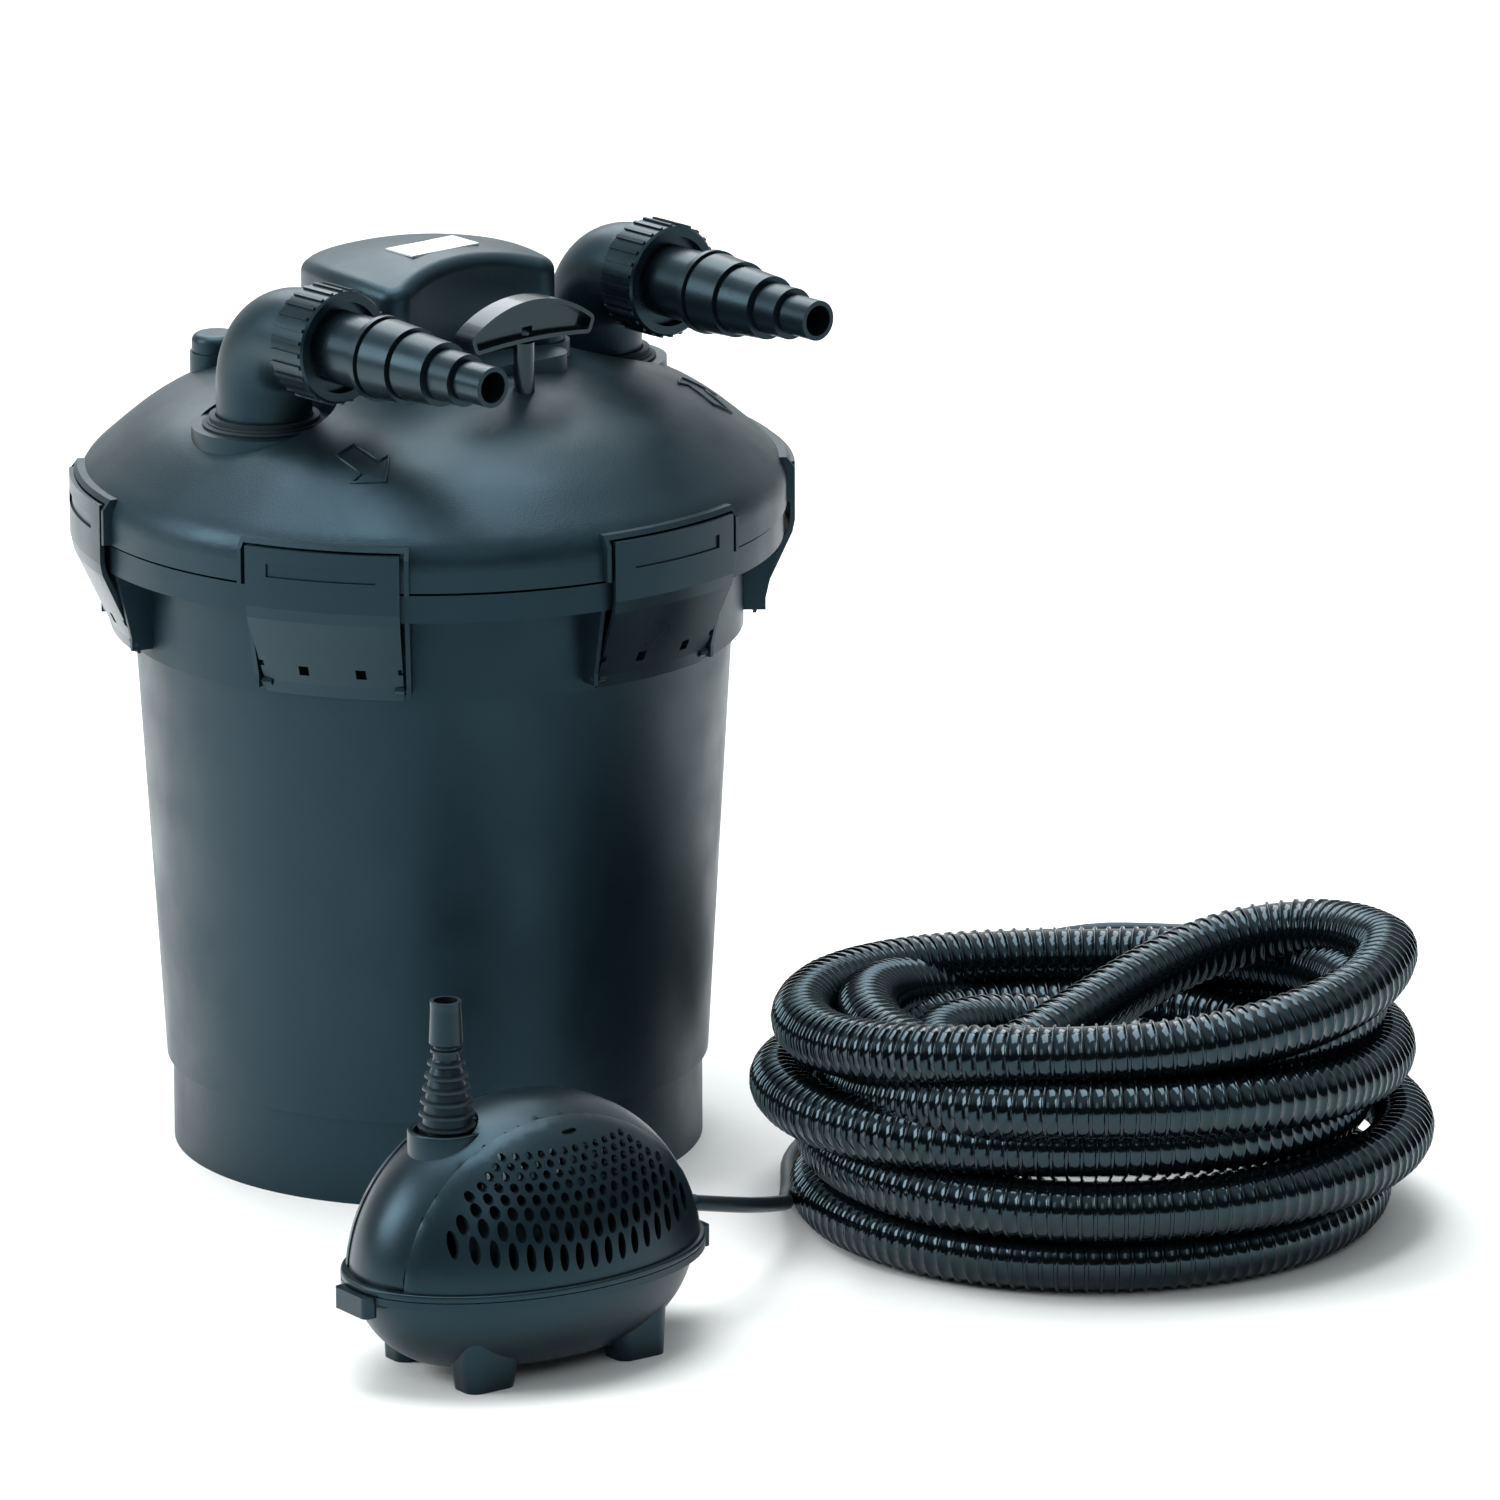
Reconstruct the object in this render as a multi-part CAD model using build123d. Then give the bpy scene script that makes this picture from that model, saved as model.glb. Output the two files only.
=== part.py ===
"""Pressure pond filter with its submersible pump, pump cable and coiled spiral hose. Millimetres, +Z up.

Origin: centre of the filter tank's foot, on the ground. The hose tails and the cleaning handle face -Y.
"""
from build123d import *
import math
import os

# ---------------------------------------------------------------- driving dimensions
# Tank
foot_radius = 129.0
foot_height = 43.0
foot_recess = 4.0
foot_rim = 9.0
foot_pad_radius = 45.0
wall_bottom_radius = 132.0
wall_top_radius = 144.5
collar_radius = 150.0
collar_bottom = 257.0
rim_radius = 169.5
rim_bottom = 301.0
rim_top = 314.5
rim_plate = 5.5
tank_wall = 3.5

# Lid
lid_gap = 1.5
lid_radius = 171.0
lid_edge_height = 10.0
lid_crown_height = 75.0
lid_wall = 3.5
spigot_clearance = 1.2
spigot_depth = 14.0
seal_radius = 156.0
seal_width = 5.0
seal_depth = 2.5

# Clips round the rim, and their hinges
clip_count = 6
clip_turn = 3.5
clip_half_angle = 12.65
clip_wall = 2.4
clip_gap = 1.6
clip_bottom = 259.5
clip_top = 335.0
clip_square = 5.0
hinge_reach = 153.8
hinge_height = 265.0
pin_radius = 1.0
pin_length = 7.2
pin_start = 31.4
knuckle_radius = 2.2
knuckle_width = 4.6
hinge_clearance = 0.05
fin_half_angle = 13.6
fin_wall = 2.2
pocket_rib = 2.2

# Hose unions on the lid
port_offset = 102.0
port_y = 0.0
port_height = 420.0
pipe_radius = 23.0
pipe_bore = 18.5
bend_radius = 28.0
boss_radius = 35.0
boss_top = 372.0
swivel_ring_radius = 27.7
swivel_ring_height = 5.0
spigot_radius = 20.0
spigot_length = 15.0
swivel_clearance = 0.06
outlet_turn = 2.5
inlet_turn = 0.8
nut_radius = 27.0
nut_start = 36.0
nut_length = 23.0
nut_lip = 4.2
nut_mouth = 22.0
nut_rib_count = 28
nut_rib = 1.0
thread_radius = 24.6
thread_length = 11.0
nut_clearance = 0.10
gasket_thickness = 1.6
neck_radius = 17.5
neck_length = 25.0
tail_wall = 2.3
# From the nut outwards, one hose size a step: rear radius, front radius, length
tail_steps = [(20.5, 20.5, 4.5), (19.4, 18.4, 20.0), (16.6, 15.4, 22.0), (12.5, 12.5, 16.0), (9.75, 9.75, 18.5)]
tail_groove = 1.0

rinse_boss_radius = 13.0
rinse_bore_radius = 8.0

# Lamp housing on the lid
head_corner_x = 50.0
head_corner_y = -41.0
head_front_y = -27.0
head_side_x = 54.0
head_shoulder_x = 40.0
head_shoulder_y = 50.0
head_back_y = 65.0
head_corner_fillet = 10.0
head_edge_fillet = 7.0
head_top = 444.0
head_crown_drop = 8.0
head_wall = 3.0
plinth_top = 395.0
plinth_front = -60.0
plinth_half_width = 42.0
head_foot_height = 6.0
head_foot_margin = 4.0
label_width = 41.0
label_depth = 20.5
label_thickness = 0.8

# Cleaning handle and its rod
handle_y = -71.0
rod_radius = 5.0
rod_clearance = 0.08
grip_width = 76.0
grip_depth = 15.0
grip_bottom = 408.0
grip_end_height = 11.0
grip_rise = 23.0
grip_wall = 2.0
grip_recess = 5.0

# Lamp and sleeve
sleeve_radius = 15.0
sleeve_wall = 1.5
sleeve_length = 230.0
lamp_radius = 9.0
lamp_length = 200.0
socket_height = 12.0

# Foam stack hung under the lid
foam_radius = 118.0
foam_bore = 22.0
foam_count = 4
foam_height = 50.0
foam_gap = 1.0
press_plate_bottom = 28.0
press_plate_height = 7.0
grid_height = 7.0
guard_radius = 36.0
guard_wall = 3.0
inlet_pipe_radius = 16.0
inlet_pipe_bottom = 20.0
socket_radius = 28.0
passage_clearance = 2.0

# Pump
pump_x = -190.9
pump_y = -301.0
pump_turn = -5.0
pump_half_length = 88.0
pump_half_width = 57.0
pump_seam = 48.0
pump_top = 126.0
pump_wall = 2.6
pump_flange = 5.0
pump_flange_height = 3.5
pump_band_half_width = 27.0
pump_band_rise = 1.6
pump_slots = 13
pump_slot_width = 3.4
pump_slot_pitch = 9.0
foot_u = 42.0
foot_v = 29.0
outlet_u = -42.0
outlet_radius = 10.5
outlet_pocket_floor = 101.0
pump_nut_radius = 12.5
pump_hole_radius = 14.2
pump_nut_height = 15.0
pump_nut_ribs = 24
pump_tail_height = 62.0
pump_tail_tip_radius = 7.25
pump_tail_root_radius = 11.2
pump_tail_rings = 7
motor_radius = 21.0
motor_height = 62.0
volute_radius = 27.0
volute_length = 22.0
impeller_radius = 18.0
shaft_radius = 2.0
shaft_clearance = 0.05

# Hose coil, cable and plug
hose_diameter = 30.0
hose_x = 152.6
hose_y = -308.2
hose_foot_radius = 129.0
hose_side_radius = 141.5
hose_outer_radius = 168.0
hose_inner_radius = 92.0
hose_low_height = 112.0
hose_high_height = 158.0
cable_diameter = 7.5
cable_coil_x = 325.0
cable_coil_y = -103.0
cable_coil_outer = 87.0
cable_coil_inner = 48.0
cable_coil_height = 38.0
plug_radius = 18.0
plug_length = 38.0
plug_relief = 22.0
pin_reach = 19.0
# The pump cable after its gland: drooping to the ground, round the hose and on to its coil
cable_points = [
    (-72.2, -310.1, 50.0), (-43.5, -297.7, 41.0), (-15.5, -276.8, 31.0), (10.3, -251.4, 20.0), (33.0, -223.5, 9.0),
    (58.6, -195.4, 3.75), (90.4, -156.8, 3.75), (127.0, -134.0, 3.75), (166.0, -131.0, 3.75), (196.0, -136.0, 3.75),
    (222.0, -130.5, 3.75), (238.0, -113.0, 3.75), (242.3, -92.0, 3.75),
]

lid_base = rim_top + lid_gap
grid_bottom = press_plate_bottom + press_plate_height + foam_count * (foam_height + foam_gap)


# ---------------------------------------------------------------- helpers
def turned(points):
    """A solid of revolution about Z from a closed outline of (radius, height) points."""
    return revolve(Plane.XZ * make_face(Polyline(*points, close=True)), Axis.Z)


def disc(radius, bottom, top, x=0.0, y=0.0):
    """An upright cylinder between two heights."""
    return Pos(x, y, bottom) * Cylinder(radius, top - bottom, align=(Align.CENTER, Align.CENTER, Align.MIN))


def tube(outer, inner, bottom, top, x=0.0, y=0.0):
    """An upright ring between two heights."""
    return disc(outer, bottom, top, x, y) - disc(inner, bottom - 1, top + 1, x, y)


def lid_profile(inset):
    """The lid's domed body, drawn in by the inset; an inner one reaches below the lid's base."""
    edge = lid_radius - inset
    spring = lid_base + lid_edge_height
    crown = lid_base + lid_crown_height - inset
    rise = crown - spring
    base = lid_base - (1 if inset else 0)
    dome = Spline((edge, spring), (0.935 * edge, spring + 0.30 * rise), (0.76 * edge, spring + 0.64 * rise),
                  (0.41 * edge, spring + 0.92 * rise), (0, crown), tangents=((0, 1), (-1, 0)))
    skirt = Polyline((0, crown), (0, base), (edge, base), (edge, spring))
    return revolve(Plane.XZ * make_face(dome + skirt), Axis.Z)


def head_outline(grow=0.0):
    """The lamp housing's plan, grown or drawn in: hollow front, bowed sides and a round back."""
    corner = (head_corner_x + grow, head_corner_y - grow)
    shoulder = (head_shoulder_x + 0.7 * grow, head_shoulder_y + 0.7 * grow)
    front = ThreePointArc((-corner[0], corner[1]), (0, head_front_y - grow), corner)
    right = ThreePointArc(corner, (head_side_x + grow, 0), shoulder)
    back = ThreePointArc(shoulder, (0, head_back_y + grow), (-shoulder[0], shoulder[1]))
    left = ThreePointArc((-shoulder[0], shoulder[1]), (-head_side_x - grow, 0), (-corner[0], corner[1]))
    outline = make_face(front + right + back + left)
    return fillet(outline.vertices(), head_corner_fillet + 0.5 * grow)


def at_clip(number, piece):
    """A piece drawn for a clip at +X, turned to the place of the numbered clip."""
    return Rot(0, 0, clip_turn - 90 + number * 360 / clip_count) * piece


def union_place(side):
    """Where one hose union stands: side -1 is the outlet and +1 the inlet; its horizontal pipe runs along -Y."""
    turn = outlet_turn if side < 0 else inlet_turn
    return Pos(side * port_offset, port_y, 0) * Rot(0, 0, turn)


def along_union(side, piece):
    """A piece drawn along +Z, laid on the union's horizontal pipe with its foot on the port's axis."""
    return union_place(side) * Pos(0, 0, port_height) * Rot(90, 0, 0) * piece


# ---------------------------------------------------------------- tank and lid
def make_tank():
    inner_top = collar_radius - tank_wall
    floor = foot_recess + tank_wall
    body = turned([
        (0, 0), (foot_pad_radius, 0), (foot_pad_radius, foot_recess), (foot_radius - foot_rim, foot_recess),
        (foot_radius - foot_rim, 0), (foot_radius, 0),
        (foot_radius, foot_height), (wall_bottom_radius, foot_height), (wall_top_radius, collar_bottom),
        (collar_radius, collar_bottom), (collar_radius, rim_top - rim_plate),
        (rim_radius - tank_wall, rim_top - rim_plate), (rim_radius - tank_wall, rim_bottom),
        (rim_radius, rim_bottom), (rim_radius, rim_top), (seal_radius + seal_width / 2, rim_top),
        (seal_radius + seal_width / 2, rim_top - seal_depth), (seal_radius - seal_width / 2, rim_top - seal_depth),
        (seal_radius - seal_width / 2, rim_top), (inner_top, rim_top), (inner_top, collar_bottom + tank_wall),
        (wall_top_radius - tank_wall, collar_bottom + tank_wall),
        (wall_bottom_radius - tank_wall, foot_height + tank_wall), (foot_radius - tank_wall, foot_height + tank_wall),
        (foot_radius - tank_wall, floor), (0, floor),
    ])
    fin_reach = hinge_reach / math.cos(math.radians(fin_half_angle)) + 2.2 * knuckle_radius / 2
    fin_outline = Plane.XZ * make_face(Polyline(
        (collar_radius - 1, hinge_height - 3), (fin_reach, hinge_height - 3), (fin_reach, hinge_height + 3),
        (rim_radius - 1, rim_bottom + 1), (rim_radius - 1, rim_top - rim_plate + 1),
        (collar_radius - 1, rim_top - rim_plate + 1), close=True))
    fin = extrude(fin_outline, fin_wall / 2, both=True)
    bore = Pos(hinge_reach, 0, hinge_height) * Rot(90, 0, 0) * Cylinder(pin_radius, 4 * pin_start)
    for number in range(clip_count):
        fins = Rot(0, 0, fin_half_angle) * fin + Rot(0, 0, -fin_half_angle) * fin - bore
        body += at_clip(number, fins)
    return body


def make_lid_seal():
    outer = seal_radius + seal_width / 2
    return tube(outer, outer - seal_width, rim_top - seal_depth, lid_base)


def make_lid():
    body = lid_profile(0)
    crown = lid_base + lid_crown_height
    # Plinth under the lamp housing, with a notch round the rod
    plinth = extrude(Pos(0, 0, crown - 20) * head_outline(head_foot_margin + 2), plinth_top - crown + 20)
    tongue = Pos(0, 0, crown - 20) * RectangleRounded(2 * plinth_half_width, 2 * abs(plinth_front), 12)
    plinth += extrude(tongue, plinth_top - crown + 20)
    plinth -= disc(2.6 * rod_radius, crown - 30, plinth_top + 1, 0, handle_y)
    body += plinth
    for number in range(clip_count):
        body += at_clip(number, clip_pocket())
    # Bosses for the two hose unions, sunk where the dome stands higher
    for side in (-1, 1):
        x = side * port_offset
        body += disc(boss_radius, crown - 40, boss_top, x, port_y)
        body -= disc(boss_radius, boss_top, boss_top + 60, x, port_y)
    body += disc(rinse_boss_radius, crown - 40, rinse_seat(), *rinse_place())
    room = lid_profile(lid_wall)
    for side in (-1, 1):
        x = side * port_offset
        room -= disc(boss_radius + lid_wall, boss_top - lid_wall, boss_top + 60, x, port_y)
    room -= tube(guard_radius + guard_wall, guard_radius, seat_height(), crown)
    room -= disc(2.2 * rod_radius, rod_guide_bottom(), crown, 0, handle_y)
    body -= room
    spigot_outer = collar_radius - tank_wall - spigot_clearance
    body += turned([
        (lid_radius - 1, lid_base), (lid_radius - 1, lid_base + lid_wall), (spigot_outer - lid_wall, lid_base + lid_wall),
        (spigot_outer - lid_wall, lid_base - spigot_depth), (spigot_outer, lid_base - spigot_depth),
        (spigot_outer, lid_base)])
    # Holes: unions, sleeve, rod, screws and the rinse outlet
    for side in (-1, 1):
        body -= disc(spigot_radius + swivel_clearance, lid_base, boss_top + 60, side * port_offset, port_y)
        body -= disc(socket_radius + 0.3, lid_base + 5, boss_top - lid_wall, side * port_offset, port_y)
    body -= disc(sleeve_radius + hinge_clearance, lid_base, plinth_top + 1)
    body -= disc(rod_radius + rod_clearance, lid_base, plinth_top + 5, 0, handle_y)
    for x, y in screw_places():
        body -= disc(1.9, lid_base, plinth_top + 1, x, y)
        body -= disc(3.8, lid_base + 0.6 * lid_crown_height, screw_seat(), x, y)
    body -= disc(rinse_bore_radius, lid_base + 0.3 * lid_crown_height, plinth_top, *rinse_place())
    return body


def rod_guide_bottom():
    return lid_base + 0.8 * lid_crown_height


def seat_height():
    return lid_base + lid_crown_height - 4 * lid_wall


def screw_seat():
    return plinth_top - 6.0


def clip_inner():
    return lid_radius + clip_gap


def screw_places():
    x = head_corner_x - 1.5 * head_corner_fillet
    return [(-x, head_corner_y + 17), (x, head_corner_y + 17), (-x + 6, head_shoulder_y - 7), (x - 6, head_shoulder_y - 7)]


def rinse_place():
    return (-50.0, 104.0)


def rinse_seat():
    return boss_top + 8


def clip_pocket():
    """Side ribs and a top ledge on the lid, round the clip at +X."""
    half = fin_half_angle + 0.5
    outer = clip_inner() + clip_wall
    ledge = clip_top + 1.0
    top = clip_top + 3.2
    outline = make_face(Polyline(
        (0.9 * lid_radius, lid_base), (outer, lid_base), (outer, clip_top - 2), (outer - 4, top),
        (0.9 * lid_radius, top), close=True))
    block = Rot(0, 0, -half) * revolve(Plane.XZ * outline, Axis.Z, revolution_arc=2 * half)
    room = make_face(Polyline(
        (lid_radius - 1, lid_base - 1), (outer + 5, lid_base - 1), (outer + 5, ledge), (lid_radius - 1, ledge),
        close=True))
    open_half = half - math.degrees(pocket_rib / lid_radius)
    space = Rot(0, 0, -open_half) * revolve(Plane.XZ * room, Axis.Z, revolution_arc=2 * open_half)
    return block - space


def make_clip():
    """The clip at +X: a curved plate that leans out over the rim, hinged at its foot."""
    inner = clip_inner()
    outer = inner + clip_wall
    outline = make_face(Polyline(
        (hinge_reach + 0.6, clip_bottom), (hinge_reach + 2.2, clip_bottom), (hinge_reach + 4.3, hinge_height + 1),
        (outer - 1.2, rim_bottom - 1), (outer, rim_bottom + 5), (outer, clip_top), (inner, clip_top),
        (inner, clip_top - 2.5), (inner - 1.1, clip_top - 4), (inner - 1.1, clip_top - 5), (inner, clip_top - 7),
        (inner, rim_bottom + 5.5), (inner - 1.1, rim_bottom + 0.2), (hinge_reach + 2.0, hinge_height + 2.2), close=True))
    plate = revolve(Plane.XZ * outline, Axis.Z, revolution_arc=2 * clip_half_angle)
    plate = Rot(0, 0, -clip_half_angle) * plate
    for side in (-1, 1):
        middle = side * (pin_start + 1.6)
        plate += Pos(hinge_reach, middle, hinge_height) * Rot(90, 0, 0) * Cylinder(knuckle_radius, knuckle_width)
        edge = side * (outer * math.sin(math.radians(clip_half_angle)) - 0.4)
        plate -= Pos(hinge_reach + 8, edge - side * 1.6, hinge_height + 10) * Box(12, 6, 3)
    plate -= Pos(hinge_reach, 0, hinge_height) * Rot(90, 0, 0) * Cylinder(pin_radius + hinge_clearance, 4 * pin_start)
    groove = turned([(outer - 1.1, clip_top - 14), (outer + 1, clip_top - 14), (outer + 1, clip_top - 7.5),
                     (outer - 1.1, clip_top - 7.5)])
    plate -= groove & Pos(outer, 0, clip_top - 10) * Box(20, 0.71 * 2 * outer * math.sin(math.radians(clip_half_angle)), 20)
    width = 2 * hinge_reach * math.sin(math.radians(clip_half_angle))
    for share in (-0.19, 0.23):
        plate -= Pos(hinge_reach + 8, share * width, hinge_height + 8) * Box(14, clip_square, clip_square)
    return plate


def make_clip_pins():
    """Two stub pins a clip, each pressed into a fin and running in the clip's knuckle."""
    pins = []
    for number in range(clip_count):
        for side in (-1, 1):
            middle = side * (pin_start + pin_length / 2)
            pin = Pos(hinge_reach, middle, hinge_height) * Rot(90, 0, 0) * Cylinder(pin_radius, pin_length)
            pins.append(at_clip(number, pin))
    return Compound(children=pins)


# ---------------------------------------------------------------- lamp housing
def make_head_housing():
    bottom = plinth_top
    block = extrude(Pos(0, 0, bottom) * head_outline(), head_top - bottom)
    crown = (2 * head_side_x) ** 2 / (8 * head_crown_drop) + head_crown_drop / 2
    block &= Pos(0, 0, head_top - crown) * Sphere(crown)
    top_edges = [edge for edge in block.edges() if edge.center().Z > head_top - 2.5 * head_crown_drop]
    block = fillet(top_edges, head_edge_fillet)
    ceiling = head_top - head_crown_drop - head_edge_fillet
    hollow = extrude(Pos(0, 0, bottom - 1) * head_outline(-head_wall), ceiling - bottom + 1)
    foot = extrude(Pos(0, 0, bottom) * head_outline(head_foot_margin), head_foot_height)
    block = block + foot - hollow
    for x, y in screw_places():
        block += disc(4.0, bottom, ceiling + 1, x, y)
        block -= disc(1.6, bottom - 1, bottom + 14, x, y)
    label = Pos(0, -2, head_top) * Box(label_width + 0.4, label_depth + 0.4, 3)
    block -= label & disc(60, head_top - 1.2, head_top + 2)
    block -= Pos(0, head_back_y, gland_height()) * Rot(90, 0, 0) * Cylinder(6.0, 30)
    return block


def gland_height():
    return plinth_top + 17.0


def make_head_label():
    return Pos(0, -2, head_top - 1.2 + label_thickness / 2) * Box(label_width, label_depth, label_thickness)


def make_head_screws():
    screws = []
    for x, y in screw_places():
        screw = disc(3.2, screw_seat() - 2.2, screw_seat(), x, y) + disc(1.6, screw_seat(), plinth_top + 12, x, y)
        screws.append(screw)
    return Compound(children=screws)


def make_head_gland():
    """Strain relief for the lamp's own cable, in the back of the housing."""
    gland = turned([(3.0, -16), (6.0, -16), (6.0, 1.5), (8.5, 1.5), (8.5, 6), (6.0, 8), (4.6, 20), (3.0, 20)])
    return Pos(0, head_back_y, gland_height()) * Rot(-90, 0, 0) * gland


def make_ballast():
    block = Pos(0, 18, plinth_top + 21) * Box(56, 40, 16)
    return fillet(block.edges().filter_by(Axis.Z), 4)


def make_lamp_socket():
    body = disc(sleeve_radius + 4, plinth_top, plinth_top + 3) + disc(12.5, plinth_top, plinth_top + socket_height)
    return body - disc(lamp_radius, plinth_top - 1, plinth_top + 5)


def make_uvc_lamp():
    top = plinth_top + 5
    return disc(lamp_radius, top - lamp_length, top) - disc(lamp_radius - 1, top - lamp_length + 1, top - 8)


def make_quartz_sleeve():
    top = plinth_top
    outer = disc(sleeve_radius, top - sleeve_length, top)
    outer = fillet(outer.edges().sort_by(Axis.Z)[0], 6)
    return outer - disc(sleeve_radius - sleeve_wall, top - sleeve_length + 4, top + 1)


def make_sleeve_nut():
    """Ring nut that draws the sleeve up against the underside of the lid."""
    top = lid_base + lid_crown_height - lid_wall - 1
    ring = tube(sleeve_radius + 9, sleeve_radius + hinge_clearance, top - 12, top)
    teeth = [Rot(0, 0, 30 * i) * Pos(sleeve_radius + 9, 0, top - 6) * Box(2.4, 4, 12) for i in range(12)]
    return ring + teeth


# ---------------------------------------------------------------- cleaning handle, foams and inlet pipe
def make_handle_grip():
    half = grip_width / 2
    side = make_face(
        ThreePointArc((-half, grip_bottom + grip_end_height - 2), (0, grip_bottom + grip_rise),
                      (half, grip_bottom + grip_end_height - 2))
        + Polyline((half, grip_bottom + grip_end_height - 2), (half - 3, grip_bottom + 1))
        + ThreePointArc((half - 3, grip_bottom + 1), (0, grip_bottom + 3), (-half + 3, grip_bottom + 1))
        + Polyline((-half + 3, grip_bottom + 1), (-half, grip_bottom + grip_end_height - 2)))
    side = fillet(side.vertices(), 3)
    bar = extrude(Plane.XZ.offset(-handle_y - grip_depth / 2) * side, grip_depth)
    recess = extrude(Plane.XZ.offset(-handle_y + grip_depth / 2 - grip_recess) * offset(side, -grip_wall), grip_recess + 1)
    edges = [edge for edge in bar.edges() if edge.center().Y > handle_y + grip_depth / 2 - 0.1]
    bar = fillet(edges, 2) - recess
    return bar - disc(rod_radius - 1, grip_bottom, grip_bottom + 9, 0, handle_y)


def make_handle_rod():
    shaft = disc(rod_radius, press_plate_bottom, grip_bottom + 1, 0, handle_y)
    under_grip = make_handle_grip()
    return shaft - under_grip


def make_rod_seal():
    top = rod_guide_bottom()
    return tube(rod_radius + 4, rod_radius + rod_clearance, top - 4, top, 0, handle_y)


def stack_cuts(piece, rod_room, pipe_room):
    """Clear the rod and the inlet pipe out of a disc of the stack."""
    piece -= disc(rod_room, 0, grid_bottom + 40, 0, handle_y)
    piece -= disc(pipe_room, 0, grid_bottom + 40, port_offset, port_y)
    piece -= Pos(port_offset + 30, port_y, grid_bottom / 2 + 20) * Box(60, 2 * pipe_room, grid_bottom + 60)
    return piece


def make_press_plate():
    top = press_plate_bottom + press_plate_height
    plate = disc(foam_radius - 2, press_plate_bottom, top) - disc(foam_bore, 0, top + 1)
    for radius in (45, 92):
        for number in range(12):
            slot = Rot(0, 0, 15 + 30 * number) * Pos(radius, 0, press_plate_bottom) * Box(26, 9, 30)
            plate -= slot
    plate += disc(3 * rod_radius, press_plate_bottom, top, 0, handle_y)
    return stack_cuts(plate, rod_radius, inlet_pipe_radius + passage_clearance)


def make_foam(number):
    bottom = press_plate_bottom + press_plate_height + number * (foam_height + foam_gap) + foam_gap
    foam = tube(foam_radius, foam_bore, bottom, bottom + foam_height)
    return stack_cuts(foam, rod_radius + passage_clearance, inlet_pipe_radius + passage_clearance)


def make_foam_cage():
    """The grid above the foams, hung from the lid by the tube that guards the lamp."""
    bottom = grid_bottom + foam_gap
    grid = disc(foam_radius, bottom, bottom + grid_height) - disc(foam_bore, 0, bottom + 50)
    for radius in (55, 92):
        for number in range(12):
            grid -= Rot(0, 0, 15 + 30 * number) * Pos(radius, 0, bottom) * Box(24, 9, 30)
    grid += tube(3 * rod_radius, rod_radius, bottom, bottom + grid_height, 0, handle_y)
    grid = stack_cuts(grid, rod_radius + rod_clearance, inlet_pipe_radius + passage_clearance)
    guard = tube(guard_radius + guard_wall, guard_radius, bottom, seat_height())
    for number in range(8):
        guard -= Rot(0, 0, 45 * number) * Pos(guard_radius, 0, (bottom + seat_height()) / 2) * Box(14, 11, 70)
    return grid + guard


def make_inlet_pipe():
    top = boss_top - lid_wall
    step = boss_top - spigot_length - 4
    bore = inlet_pipe_radius - 3
    return Pos(port_offset, port_y, 0) * turned([
        (bore, inlet_pipe_bottom), (inlet_pipe_radius, inlet_pipe_bottom), (inlet_pipe_radius, step),
        (socket_radius, step), (socket_radius, top), (socket_radius - 3, top), (socket_radius - 3, step + 3),
        (bore, step + 3)])


# ---------------------------------------------------------------- hose unions
def make_swivel_ring(side):
    bottom = boss_top
    ring = turned([
        (pipe_radius + 0.5, bottom), (swivel_ring_radius + 2, bottom), (swivel_ring_radius + 2, bottom + 1.2),
        (swivel_ring_radius, bottom + 1.8), (swivel_ring_radius, bottom + swivel_ring_height / 2),
        (swivel_ring_radius - 1.2, bottom + swivel_ring_height / 2 + 0.4),
        (swivel_ring_radius - 1.2, bottom + swivel_ring_height), (pipe_radius + 0.5, bottom + swivel_ring_height)])
    return union_place(side) * ring


def make_elbow(side):
    bottom = boss_top + 0.2
    reach = nut_start + 1.0
    path = FilletPolyline((0, 0, bottom), (0, 0, port_height), (0, -reach, port_height), radius=bend_radius)
    outside = sweep(Pos(0, 0, bottom) * Circle(pipe_radius), path=path)
    below = boss_top - spigot_length
    outside += disc(spigot_radius, below, bottom)
    thread = Pos(0, 0, port_height) * Rot(90, 0, 0) * disc(thread_radius, reach, reach + thread_length)
    outside += thread
    inner_path = FilletPolyline((0, 0, below - 1), (0, 0, port_height), (0, -reach - thread_length - 1, port_height),
                                radius=bend_radius)
    inside = sweep(Pos(0, 0, below - 1) * Circle(spigot_radius - 3), path=inner_path)
    return union_place(side) * (outside - inside)


def make_elbow_seal(side):
    top = boss_top - lid_wall
    return union_place(side) * tube(spigot_radius + 3, spigot_radius, top - 5, top - 0.6)


def gasket_start():
    return nut_start + 1.0 + thread_length


def make_gasket(side):
    start = gasket_start()
    return along_union(side, tube(thread_radius - 0.4, pipe_bore - 1.5, start, start + gasket_thickness))


def nut_front():
    return nut_start + nut_length


def make_nut(side):
    inner = thread_radius + nut_clearance
    lip_start = nut_front() - nut_lip
    body = turned([
        (inner, nut_start), (nut_radius - 1, nut_start), (nut_radius, nut_start + 1), (nut_radius, nut_front() - 1),
        (nut_radius - 1, nut_front()), (nut_mouth, nut_front()), (nut_mouth, lip_start), (inner, lip_start)])
    rib = Pos(nut_radius, 0, nut_start + nut_length / 2) * Box(2 * nut_rib, 1.8, nut_length - 3)
    ribs = [Rot(0, 0, i * 360 / nut_rib_count) * rib for i in range(nut_rib_count)]
    return along_union(side, body + ribs)


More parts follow.
